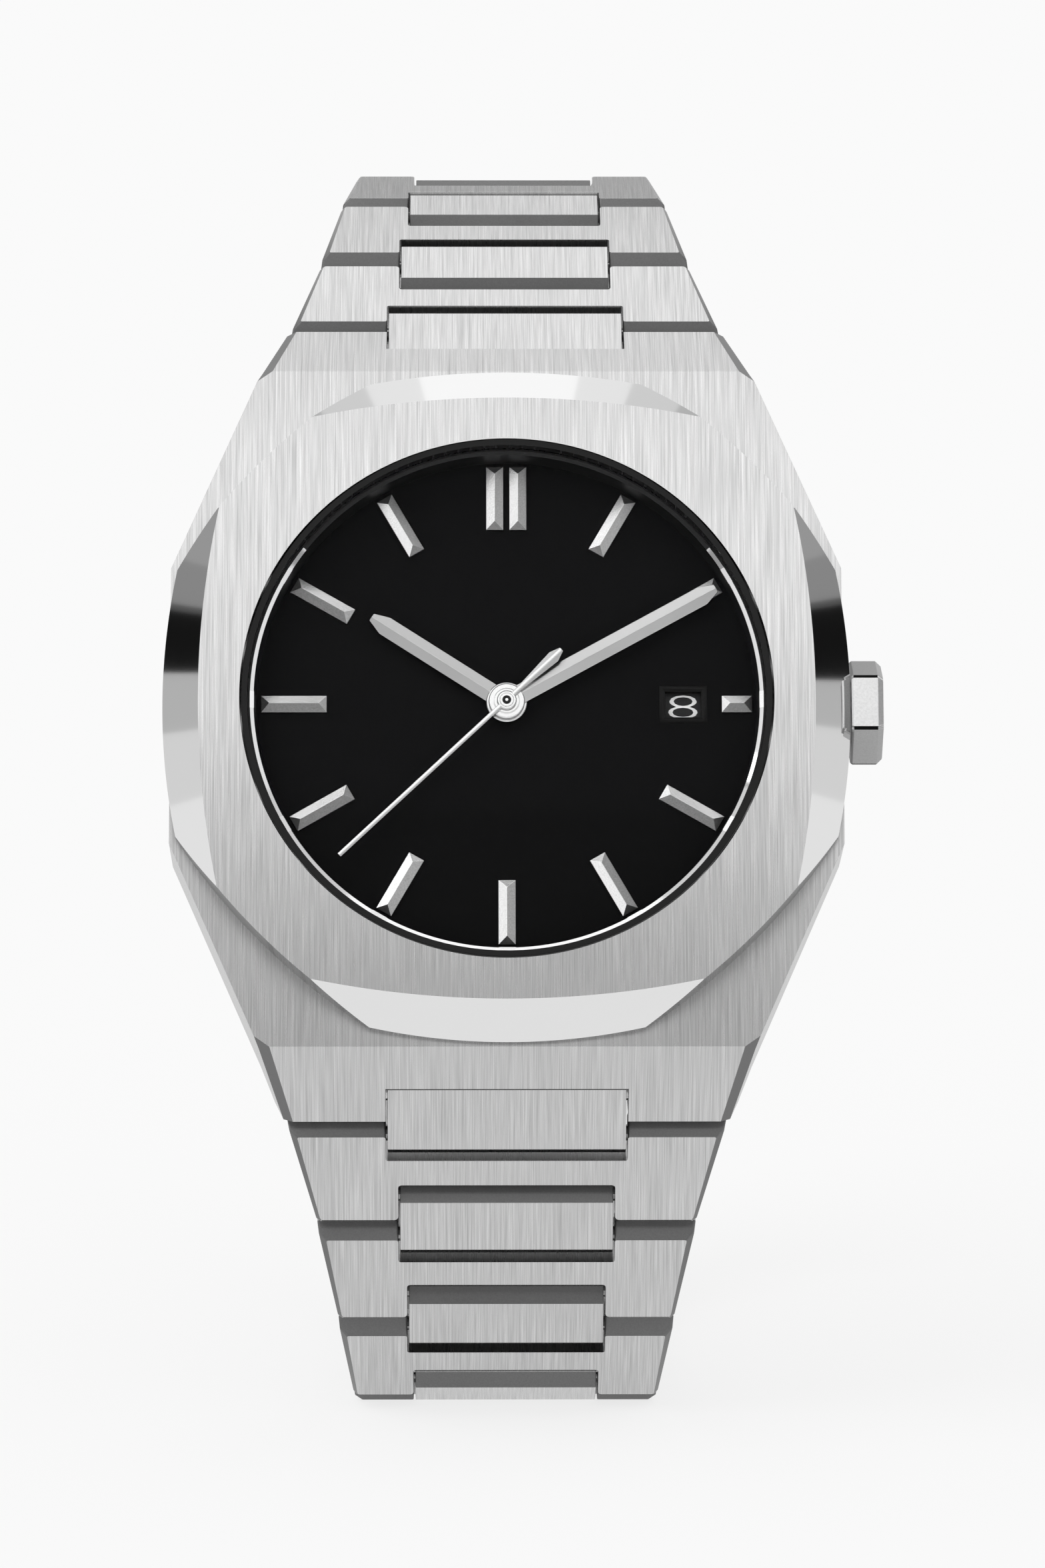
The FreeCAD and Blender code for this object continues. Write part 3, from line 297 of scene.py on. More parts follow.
def at_height(outline: Array, height: float) -> Array:
    """Returns a plane outline as points at a height."""
    return np.column_stack([outline, np.full(len(outline), height)])


def prism(outline: Array, low: float, high: float) -> Solid:
    """Returns a plane outline carried from one height to another."""
    return loft(np.stack([at_height(outline, low), at_height(outline, high)]))


def box(low: Sequence[float], high: Sequence[float]) -> Solid:
    """Returns a block between two corners."""
    outline = np.array([[low[0], low[1]], [high[0], low[1]], [high[0], high[1]], [low[0], high[1]]])
    return prism(outline, low[2], high[2])


def disc(radius: float, low: float, high: float, steps: int) -> Solid:
    """Returns a round plate about Z, from one height to another."""
    return turned([(0.0, low), (radius, low), (radius, high), (0.0, high)], steps)


def bar(radius: float, length: float, y: float, z: float, steps: int = 24) -> Solid:
    """A round bar along X, centred across: (x, y + r cos a, z + r sin a).

    Args:
        radius: its radius.
        length: its length.
        y: where its axis stands along Y.
        z: where its axis stands along Z.
        steps: how many places round it.

    Returns:
        The bar.
    """
    angle = np.linspace(0, 2 * np.pi, steps, endpoint=False)
    ring = np.column_stack([y + radius * np.cos(angle), z + radius * np.sin(angle)])
    ends = [np.column_stack([np.full(steps, x), ring]) for x in (-length / 2, length / 2)]
    return loft(np.stack(ends))


# ---------------------------------------------------------------- finishes


Socket = bpy.types.NodeSocket


def greys(tone: float, contrast: float) -> tuple[tuple[float, ...], tuple[float, ...]]:
    """Returns a dark and a light grey, each a share of a tone away from it."""
    return (tone * (1 - contrast),) * 3, (tone * (1 + contrast),) * 3


class NodeBench:
    """A material's node tree, with short ways to add and join nodes."""

    def __init__(self, name: str) -> None:
        """Makes an empty material.

        Args:
            name: the material's name.
        """
        self.material = bpy.data.materials.new(name)
        self.material.use_nodes = True
        self.tree = self.material.node_tree
        self.tree.nodes.clear()
        self.output = self.tree.nodes.new("ShaderNodeOutputMaterial")

    def add(self, kind: str, **values: object) -> bpy.types.Node:
        """Adds a node.

        Args:
            kind: the node's type.
            values: the node's own settings, or, for a name that it hasn't, an input's value.

        Returns:
            The node.
        """
        node = self.tree.nodes.new(kind)
        for name, value in values.items():
            if hasattr(node, name):
                setattr(node, name, value)
            else:
                node.inputs[name.replace("_", " ")].default_value = value
        return node

    def join(self, start: Socket, end: Socket) -> None:
        """Joins an output to an input."""
        self.tree.links.new(start, end)

    def spread(self, value: Socket, low: float, high: float) -> Socket:
        """A value between 0 and 1, spread from low to high.

        Args:
            value: the value.
            low: what 0 becomes.
            high: what 1 becomes.

        Returns:
            The spread value.
        """
        node = self.add("ShaderNodeMapRange")
        node.inputs["To Min"].default_value = low
        node.inputs["To Max"].default_value = high
        self.join(value, node.inputs["Value"])
        return node.outputs["Result"]

    def sum(self, first: Socket, second: Socket, share: float) -> Socket:
        """Two values mixed.

        Args:
            first: the first value.
            second: the second value.
            share: how much of the second there is.

        Returns:
            The mixed value.
        """
        node = self.add("ShaderNodeMix")
        node.inputs["Factor"].default_value = share
        self.join(first, node.inputs["A"])
        self.join(second, node.inputs["B"])
        return node.outputs["Result"]

    def tint(self, factor: Socket, dark: Sequence[float], light: Sequence[float]) -> Socket:
        """A colour between two.

        Args:
            factor: 0 for the dark one and 1 for the light one.
            dark: the dark colour.
            light: the light colour.

        Returns:
            The colour.
        """
        node = self.add("ShaderNodeMix", data_type="RGBA")
        node.inputs["A"].default_value = (*dark, 1)
        node.inputs["B"].default_value = (*light, 1)
        self.join(factor, node.inputs["Factor"])
        return node.outputs["Result"]

    def noise(self, place: Socket, stretch: Sequence[float], detail: float = 3.0) -> Socket:
        """Noise over a place.

        Args:
            place: the place.
            stretch: how many features the noise has to the unit each way.
            detail: how many finer layers it has.

        Returns:
            The noise.
        """
        mapping = self.add("ShaderNodeMapping")
        mapping.inputs["Scale"].default_value = stretch
        self.join(place, mapping.inputs["Vector"])
        noise = self.add("ShaderNodeTexNoise", Scale=1.0, Detail=detail, Roughness=0.55)
        self.join(mapping.outputs["Vector"], noise.inputs["Vector"])
        return noise.outputs["Fac"]

    def bump(self, height: Socket, depth: float) -> Socket:
        """The normal of a relief.

        Args:
            height: the relief, from 0 to 1.
            depth: its depth in millimetres.

        Returns:
            The normal.
        """
        node = self.add("ShaderNodeBump", Strength=1.0, Distance=depth * MM)
        self.join(height, node.inputs["Height"])
        return node.outputs["Normal"]

    def finished(
        self, shader: bpy.types.Node, colour: Socket, roughness: Socket, normal: Socket
    ) -> bpy.types.Material:
        """Joins what a principled shader takes, and the shader to the output.

        Args:
            shader: the shader.
            colour: its base colour.
            roughness: its roughness.
            normal: its normal.

        Returns:
            The material.
        """
        for value, place in ((colour, "Base Color"), (roughness, "Roughness"), (normal, "Normal")):
            self.join(value, shader.inputs[place])
        self.join(shader.outputs["BSDF"], self.output.inputs["Surface"])
        return self.material


@dataclass(frozen=True)
class BrushedSteel:
    """Steel drawn over a belt: fine streaks along the grain, which spread reflections across it."""

    name: str = "brushed_steel"
    tone: float = 0.56
    contrast: float = 0.3
    roughness: float = 0.27
    wear: tuple[float, float] = (-0.05, 0.07)
    anisotropy: float = 0.7
    relief: float = 0.003
    fine_streaks: tuple[float, float, float] = (15.0, 0.2, 1.0)
    broad_streaks: tuple[float, float, float] = (6.0, 0.09, 1.0)
    broad_share: float = 0.28
    sharpening: tuple[float, float] = (0.3, 0.7)

    def material(self) -> bpy.types.Material:
        """Makes the material, whose streaks follow the piece's own grain map.

        Returns:
            The material.
        """
        bench = NodeBench(self.name)
        grain = bench.add("ShaderNodeUVMap", uv_map="grain").outputs["UV"]
        fine = bench.noise(grain, self.fine_streaks, 4.0)
        broad = bench.noise(grain, self.broad_streaks, 3.0)
        streaks = bench.sum(fine, broad, self.broad_share)
        sharp = bench.add("ShaderNodeMapRange")
        sharp.inputs["From Min"].default_value, sharp.inputs["From Max"].default_value = self.sharpening
        bench.join(streaks, sharp.inputs["Value"])
        shader = bench.add("ShaderNodeBsdfPrincipled", Metallic=1.0, Anisotropic=self.anisotropy)
        tangent = bench.add("ShaderNodeTangent", direction_type="UV_MAP", uv_map="grain")
        bench.join(tangent.outputs["Tangent"], shader.inputs["Tangent"])
        low, high = (self.roughness + change for change in self.wear)
        return bench.finished(
            shader,
            bench.tint(sharp.outputs["Result"], *greys(self.tone, self.contrast)),
            bench.spread(broad, high, low),
            bench.bump(streaks, self.relief),
        )


@dataclass(frozen=True)
class DrawnSteel:
    """Steel drawn along the clasp's bow: streaks that are narrow across and long the other ways."""

    name: str = "drawn_clasp_steel"
    tone: float = 0.54
    contrast: float = 0.14
    roughness: float = 0.34
    wear: tuple[float, float] = (-0.05, 0.07)
    relief: float = 0.002
    fine_streaks: tuple[float, float, float] = (15000.0, 250.0, 250.0)
    broad_streaks: tuple[float, float, float] = (3000.0, 90.0, 90.0)
    broad_share: float = 0.4

    def material(self) -> bpy.types.Material:
        """Makes the material.

        Returns:
            The material.
        """
        bench = NodeBench(self.name)
        place = bench.add("ShaderNodeTexCoord").outputs["Object"]
        fine = bench.noise(place, self.fine_streaks, 4.0)
        broad = bench.noise(place, self.broad_streaks, 3.0)
        streaks = bench.sum(fine, broad, self.broad_share)
        low, high = (self.roughness + change for change in self.wear)
        return bench.finished(
            bench.add("ShaderNodeBsdfPrincipled", Metallic=1.0),
            bench.tint(streaks, *greys(self.tone, self.contrast)),
            bench.spread(broad, high, low),
            bench.bump(streaks, self.relief),
        )


@dataclass(frozen=True)
class GrainySteel:
    """Blasted or lapped steel: an even tone with a fine grain that has no direction."""

    name: str
    tone: float
    roughness: float
    contrast: float = 0.08
    relief: float = 0.001
    grains: float = 14.0
    clouds: float = 0.22
    cloud_share: float = 0.3
    wear: float = 0.15

    def material(self) -> bpy.types.Material:
        """Makes the material.

        Returns:
            The material.
        """
        bench = NodeBench(self.name)
        place = bench.add("ShaderNodeTexCoord").outputs["Object"]
        grain = bench.noise(place, (self.grains / MM,) * 3, 2.0)
        cloud = bench.noise(place, (self.clouds / MM,) * 3, 2.0)
        return bench.finished(
            bench.add("ShaderNodeBsdfPrincipled", Metallic=1.0),
            bench.tint(bench.sum(grain, cloud, self.cloud_share), *greys(self.tone, self.contrast)),
            bench.spread(cloud, self.roughness * (1 - self.wear), self.roughness * (1 + self.wear)),
            bench.bump(grain, self.relief),
        )


@dataclass(frozen=True)
class Enamel:
    """Paint, rubber or printed ink: a colour with a faint unevenness, and its own share of sheen."""

    name: str
    colour: tuple[float, float, float]
    roughness: float
    sheen: float = 0.5
    relief: float = 0.0004
    grains: float = 16.0
    contrast: float = 0.15
    wear: float = 0.1

    def material(self) -> bpy.types.Material:
        """Makes the material.

        Returns:
            The material.
        """
        bench = NodeBench(self.name)
        place = bench.add("ShaderNodeTexCoord").outputs["Object"]
        grain = bench.noise(place, (self.grains / MM,) * 3, 3.0)
        dark = tuple((1 - self.contrast) * part for part in self.colour)
        light = tuple(min(1.0, (1 + self.contrast) * part) for part in self.colour)
        shader = bench.add("ShaderNodeBsdfPrincipled")
        shader.inputs["Specular IOR Level"].default_value = self.sheen
        return bench.finished(
            shader,
            bench.tint(grain, dark, light),
            bench.spread(grain, self.roughness * (1 - self.wear), self.roughness * (1 + self.wear)),
            bench.bump(grain, self.relief),
        )


@dataclass(frozen=True)
class CoatedSapphire:
    """Sapphire with an anti-reflection coat: clear, with a weak mirror that grows towards the rim."""

    name: str = "coated_sapphire"
    index: float = 1.055
    roughness: float = 0.02

    def material(self) -> bpy.types.Material:
        """Makes the material.

        Returns:
            The material.
        """
        bench = NodeBench(self.name)
        clear = bench.add("ShaderNodeBsdfTransparent")
        mirror = bench.add("ShaderNodeBsdfGlossy", Roughness=self.roughness)
        fresnel = bench.add("ShaderNodeFresnel", IOR=self.index)
        mix = bench.add("ShaderNodeMixShader")
        bench.join(fresnel.outputs["Fac"], mix.inputs["Fac"])
        bench.join(clear.outputs["BSDF"], mix.inputs[1])
        bench.join(mirror.outputs["BSDF"], mix.inputs[2])
        bench.join(mix.outputs["Shader"], bench.output.inputs["Surface"])
        return bench.material


class Finish(Enum):
    """The finishes that the watch's pieces have."""

    BRUSHED = BrushedSteel()
    SIDE = BrushedSteel(name="brushed_flank", tone=0.5, contrast=0.2)
    # Blasted steel for the bracelet's near bevels, in a tone darkened as painted shade.
    BLASTED = GrainySteel("blasted_steel_painted_shade", 0.17, 0.42, 0.25, 0.003, 10.0)
    LAPPED = GrainySteel("lapped_steel", 0.45, 0.28, 0.04, 0.0002)
    # Lapped steel darkened as painted shade, for the case's and the bracelet's chamfers.
    CHAMFER = GrainySteel("lapped_chamfer_painted_shade", 0.17, 0.3, 0.06, 0.0004)
    POLISHED = GrainySteel("polished_steel", 0.78, 0.05, 0.02, 0.00002)
    # Darker copies of the markers' steel for roofs that face right and down: painted shade from light falling
    # from the upper left.
    FROSTED = GrainySteel("marker_painted_shade", 0.5, 0.4, 0.5, 0.008, 12.0)
    UNDERCUT = GrainySteel("shaded_marker", 0.26, 0.4, 0.5, 0.008, 12.0)
    MARKER = GrainySteel("diamond_cut_marker", 0.95, 0.26, 0.22, 0.004, 12.0)
    CROWN = GrainySteel("crown_front", 0.76, 0.3, 0.25, 0.003, 8.0)
    # A darker copy of the crown's steel for its flats other than the front one: painted shade.
    CROWN_SIDE = GrainySteel("crown_flat_painted_shade", 0.38, 0.36, 0.22, 0.003, 10.0)
    HAND = GrainySteel("hand_steel", 0.8, 0.22, 0.05, 0.0004)
    PLATE = GrainySteel("rhodium_plate", 0.6, 0.34, 0.08, 0.0006)
    GILT = GrainySteel("gilt_brass", 0.55, 0.3, 0.08, 0.0005)
    # Near-black steel for the date window's frame, which is also painted shade in the crown's grooves.
    GUNMETAL = GrainySteel("dark_frame_steel_and_groove_shade", 0.015, 0.3, 0.05, 0.0003)
    DRAWN = DrawnSteel()
    DIAL = Enamel("dial_lacquer", (0.0034, 0.0034, 0.0037), 0.6, 0.05)
    RING = Enamel("flange_lacquer", (0.012, 0.012, 0.0125), 0.4, 0.25)
    # Rubber for the gaskets, which is also a dark disc of painted shade for the hole in the seconds hub.
    RUBBER = Enamel("gasket_rubber_and_hole_shade", (0.01, 0.01, 0.01), 0.6, 0.2)
    TICK = GrainySteel("polished_tick", 0.95, 0.25, 0.03, 0.0003)
    INK = Enamel("white_ink", (0.94, 0.94, 0.93), 0.5)
    CRYSTAL = CoatedSapphire()


class Palette:
    """The materials, each made once, when a piece first takes it."""

    def __init__(self) -> None:
        """Starts with none made."""
        self.made: dict[Finish, bpy.types.Material] = {}

    def __getitem__(self, finish: Finish) -> bpy.types.Material:
        """A finish's material, made now if no piece has taken it yet.

        Args:
            finish: the finish.

        Returns:
            The material.
        """
        if finish not in self.made:
            self.made[finish] = finish.value.material()
        return self.made[finish]


PALETTE = Palette()


# ---------------------------------------------------------------- making pieces


Chooser = Callable[[Array, Array], Array]


def one_finish(normals: Array, centres: Array) -> Array:
    """Returns the first finish for every face."""
    return np.zeros(len(normals), dtype=np.int32)


def placed(name: str, data: bpy.types.ID) -> bpy.types.Object:
    """A new object in the scene.

    Args:
        name: its name.
        data: what it carries: a mesh, a text, a lamp or a camera.

    Returns:
        The object.
    """
    item = bpy.data.objects.new(name, data)
    bpy.context.scene.collection.objects.link(item)
    return item


def joined(mesh: bpy.types.Mesh, others: Sequence[bpy.types.Mesh]) -> bpy.types.Mesh:
    """A mesh with the faces of others added to its own.

    Args:
        mesh: the mesh that takes them.
        others: the meshes whose faces it takes, in order.

    Returns:
        The first mesh.
    """
    work = bmesh.new()
    for part in (mesh, *others):
        work.from_mesh(part)
    work.to_mesh(mesh)
    work.free()
    return mesh


def raw_mesh(name: str, solid: Solid) -> bpy.types.Mesh:
    """A mesh of a solid, in millimetres, with doubles merged and its faces pointing outwards.

    Args:
        name: the mesh's name.
        solid: the shape.

    Returns:
        The mesh.
    """
    mesh = bpy.data.meshes.new(name)
    mesh.from_pydata(solid.points.tolist(), [], solid.faces)
    work = bmesh.new()
    work.from_mesh(mesh)
    bmesh.ops.remove_doubles(work, verts=work.verts, dist=1e-4)
    bmesh.ops.dissolve_degenerate(work, edges=work.edges, dist=1e-5)
    bmesh.ops.recalc_face_normals(work, faces=work.faces)
    work.to_mesh(mesh)
    work.free()
    return mesh


def carved(mesh: bpy.types.Mesh, cutters: Sequence[Solid]) -> bpy.types.Mesh:
    """A mesh with other solids cut out of it.

    Args:
        mesh: the mesh to cut, in millimetres.
        cutters: the shapes to take away.

    Returns:
        The new mesh.
    """
    block = placed(mesh.name, mesh)
    tools = []
    for number, cutter in enumerate(cutters):
        tool = placed(f"cutter_{number}", raw_mesh("cutter", cutter))
        cut = block.modifiers.new(tool.name, "BOOLEAN")
        cut.operation, cut.solver, cut.object = "DIFFERENCE", "EXACT", tool
        tools.append(tool)
    ready = block.evaluated_get(bpy.context.evaluated_depsgraph_get())
    result = bpy.data.meshes.new_from_object(ready)
    for used in (block, *tools):
        bpy.data.objects.remove(used)
    return result


def sliced(mesh: bpy.types.Mesh, point: Sequence[float], outward: Sequence[float]) -> None:
    """Cuts away what lies beyond a plane and closes the cut.

    Args:
        mesh: the mesh, in millimetres.
        point: a point of the plane.
        outward: the direction in which everything goes.
    """
    work = bmesh.new()
    work.from_mesh(mesh)
    everything = list(work.verts) + list(work.edges) + list(work.faces)
    cut = bmesh.ops.bisect_plane(
        work, geom=everything, plane_co=point, plane_no=outward, clear_outer=True, dist=1e-5
    )
    rim = [part for part in cut["geom_cut"] if isinstance(part, bmesh.types.BMEdge)]
    bmesh.ops.edgeloop_fill(work, edges=rim)
    bmesh.ops.recalc_face_normals(work, faces=work.faces)
    work.to_mesh(mesh)
    work.free()


def face_table(mesh: bpy.types.Mesh) -> tuple[Array, Array]:
    """The normal and the centre of each of a mesh's faces.

    Args:
        mesh: the mesh.

    Returns:
        The normals and the centres, a row for each face.
    """
    count = len(mesh.polygons)
    normals, centres = np.empty(count * 3), np.empty(count * 3)
    mesh.polygons.foreach_get("normal", normals)
    mesh.polygons.foreach_get("center", centres)
    return normals.reshape(-1, 3), centres.reshape(-1, 3)


def lay_grain(mesh: bpy.types.Mesh, offset: float) -> None:
    """Maps the grain over a piece: x by y on its faces, z by y on its flanks, and x by z on its ends.

    Args:
        mesh: the mesh, still in its own frame.
        offset: moves the streaks, so that no two pieces share them.
    """
    normals, _ = face_table(mesh)
    points = np.empty(len(mesh.vertices) * 3)
    mesh.vertices.foreach_get("co", points)
    points = points.reshape(-1, 3)
    corner = np.empty(len(mesh.loops), dtype=np.int32)
    mesh.loops.foreach_get("vertex_index", corner)
    total = np.empty(len(mesh.polygons), dtype=np.int32)
    mesh.polygons.foreach_get("loop_total", total)
    at = points[corner]
    end = np.repeat(np.abs(normals[:, 1]) > END_LEAN, total)
    flank = np.repeat(np.abs(normals[:, 0]) > FLANK_LEAN, total)
    across = np.where(flank, at[:, 2], at[:, 0])
    along = np.where(end, at[:, 2], at[:, 1])
    layer = mesh.uv_layers.new(name="grain")
    layer.data.foreach_set("uv", np.column_stack([across + offset, along + offset]).ravel())


@dataclass
class Maker:
    """Turns solids into finished pieces of the watch."""

    made: int = 0

    def finish(
        self,
        name: str,
        mesh: bpy.types.Mesh,
        seat: Seat,
        body: str,
        finishes: Sequence[Finish],
        nodes: Sequence[str] = (),
        choose: Chooser = one_finish,
        edge: float = 0.05,
        slot: str = "steel",
    ) -> bpy.types.Object:
        """Finishes a mesh as a piece.

        Args:
            name: the piece's name.
            mesh: its mesh, in millimetres in its own frame.
            seat: where its frame stands.
            body: the body that it rides on.
            finishes: the finishes that its faces take.
            nodes: the model's nodes that it stands for.
            choose: picks each face's finish from the faces' normals and centres.
            edge: how wide its edges are broken, or 0 to leave them sharp.
            slot: not used.

        Returns:
            The piece.
        """
        self.made += 1
        normals, centres = face_table(mesh)
        lay_grain(mesh, GRAIN_STEP * self.made)
        for finish in finishes:
            mesh.materials.append(PALETTE[finish])
        mesh.polygons.foreach_set("material_index", choose(normals, centres).astype(np.int32))
        mesh.transform(seat.matrix())
        if np.linalg.det(seat.axes) < 0:
            mesh.flip_normals()
        mesh.polygons.foreach_set("use_smooth", np.ones(len(mesh.polygons), dtype=bool))
        mesh.set_sharp_from_angle(angle=SHARP_ANGLE)
        mesh.update()
        piece = placed(name, mesh)
        if edge:
            bevel = piece.modifiers.new("broken_edges", "BEVEL")
            bevel.width = edge * MM
            bevel.segments = 2
            bevel.limit_method = "ANGLE"
            bevel.angle_limit = SHARP_ANGLE
            bevel.harden_normals = True
        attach(piece, body)
        if nodes:
            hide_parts(*nodes)
        LOG.info("%s: %d faces on %s", name, len(mesh.polygons), body)
        return piece

    def make(self, name: str, solid: Solid, *rest: object, **more: object) -> bpy.types.Object:
        return self.finish(name, raw_mesh(name, solid), *rest, **more)


# ---------------------------------------------------------------- the head


@dataclass
class CaseMiddle:
    """The case middle: shoulders, lugs that fall away from a crease, and notches for the centre links."""

    seat: Seat
    half_width: float = 20.5
    shoulder: float = 8.6
    crease: float = 21.15
    crease_half_width: float = 15.0
    tip: float = 24.95
    tip_half_width: float = 13.5
    tip_height: float = -4.6
    heel: float = 23.3
    top: float = -0.2
    bottom: float = -7.0
    bore: float = 15.75
    crown_height: float = -2.2
    tube_radius: float = 1.27
    notch_width: float = 14.74
    notch_tilt: float = 35.0
    chamfer: tuple[tuple[float, float, float], ...] = (
        (14.35, 21.15, -0.2),
        (13.0, 24.95, -4.6),
        (15.0, 21.15, -0.9),
    )
    chamfer_lean: float = 0.5
    chamfer_start: float = 19.0
    pin_radius: float = 0.5
    pin_seat: float = 0.1
    tube_hole: tuple[float, float] = (12.0, 24.0)
    notch_behind: float = 1.175
    notch_draw: float = 0.2
    notch_floor: float = 1.8
    notch_wall: float = 0.72
    notch_clear: float = 3.0
    notch_away: float = 5.0

    def block(self) -> Solid:
        """The upright block of the plan, before the lugs are sloped.

        Returns:
            The block.
        """
        right = [
            (self.tip_half_width, -self.tip),
            (self.crease_half_width, -self.crease),
            (self.half_width, -self.shoulder),
            (self.half_width, self.shoulder),
            (self.crease_half_width, self.crease),
            (self.tip_half_width, self.tip),
        ]
        left = [(-x, y) for x, y in reversed(right)]
        return prism(np.array(right + left), self.bottom, self.top)

    def planes(self) -> list[tuple[Array, Array]]:
        """The planes that shape the lugs: two slopes, two heels and four side chamfers.

        Returns:
            Each plane's point and its outward direction.
        """
        fall, run = self.top - self.tip_height, self.tip - self.crease
        tuck, drop = self.tip - self.heel, self.tip_height - self.bottom
        first, second, third = (np.array(corner) for corner in self.chamfer)
        outward = np.cross(second - first, third - first)
        outward *= np.sign(outward[0])
        found = []
        for way in (1, -1):
            found.append((np.array([0, way * self.crease, self.top]), np.array([0, way * fall, run])))
            found.append((np.array([0, way * self.tip, self.tip_height]), np.array([0, way * drop, -tuck])))
            for side in (1, -1):
                mirror = np.array([side, way, 1])
                found.append((first * mirror, outward * mirror))
        return found

    def notch(self, pin: Array, way: int) -> Solid:
        """The room that is cut for a first centre link.

        Args:
            pin: the case's pin, as how far along and how high.
            way: 1 above and -1 below.

        Returns:
            The room as a solid.
        """
        tilt = math.radians(self.notch_tilt)
        along = np.array([math.cos(tilt), -math.sin(tilt)])
        out = np.array([math.sin(tilt), math.cos(tilt)])
        behind, away, deep = self.notch_behind, self.notch_away, self.notch_floor + self.notch_away
        spot = np.array([abs(pin[0]), pin[1]])
        side = np.array(
            [
                spot - along * behind + out * self.notch_clear,
                spot - along * behind - out * self.notch_wall,
                spot - along * (behind - self.notch_draw) - out * deep,
                spot + along * away - out * deep,
                spot + along * away + out * self.notch_clear,
            ]
        )
        half = self.notch_width / 2
        ends = [np.column_stack([np.full(5, x), way * side[:, 0], side[:, 1]]) for x in (-half, half)]
        return loft(np.stack(ends))

    def build(self, maker: Maker) -> None:
        """Makes the case middle with its two lug pins.

        Args:
            maker: the maker.
        """
        mesh = raw_mesh("case", self.block())
        for point, outward in self.planes():
            sliced(mesh, point, outward)
        inward = np.linalg.inv(self.seat.axes)
        joints = ("centre_upper_00_bend", "centre_lower_00_bend")
        pins = [inward @ (pivot(name) - self.seat.origin) for name in joints]
        middle = disc(self.bore, self.bottom - OVERCUT, self.top + OVERCUT, 160)
        start, end = self.tube_hole
        hole = disc(self.tube_radius, 0.0, end - start, 48)
        hole.points = hole.points[:, [2, 1, 0]] + np.array([start, 0, self.crown_height])
        rooms = [self.notch(pins[0][1:], 1), self.notch(pins[1][1:], -1)]
        mesh = carved(mesh, [middle, hole, *rooms])
        maker.finish(
            "case_body",
            mesh,
            self.seat,
            "case",
            (Finish.BRUSHED, Finish.SIDE, Finish.CHAMFER),
            ("case_middle",),
            self.choose,
            edge=0.07,
        )
        for name, pin in zip(("upper", "lower"), pins):
            rod = bar(self.pin_radius, self.notch_width + self.pin_seat, pin[1], pin[2])
            maker.make(f"lug_pin_{name}", rod, self.seat, "case", (Finish.HAND,), edge=0)

    def choose(self, normals: Array, centres: Array) -> Array:
        """Brushed faces, with the walls drawn the other way and the lugs' chamfers lapped and darkened as
        painted shade.

        Args:
            normals: the faces' normals.
            centres: the faces' centres.

        Returns:
            Each face's finish, counted from 0.
        """
        upright = np.abs(normals[:, 2]) < WALL
        # The lugs' chamfers take a darker copy of lapped steel: painted shade.
        lapped = (np.abs(normals[:, 0]) > self.chamfer_lean) & (normals[:, 2] > WALL)
        lapped &= np.abs(centres[:, 1]) > self.chamfer_start
        return np.where(lapped, 2, np.where(upright, 1, 0))


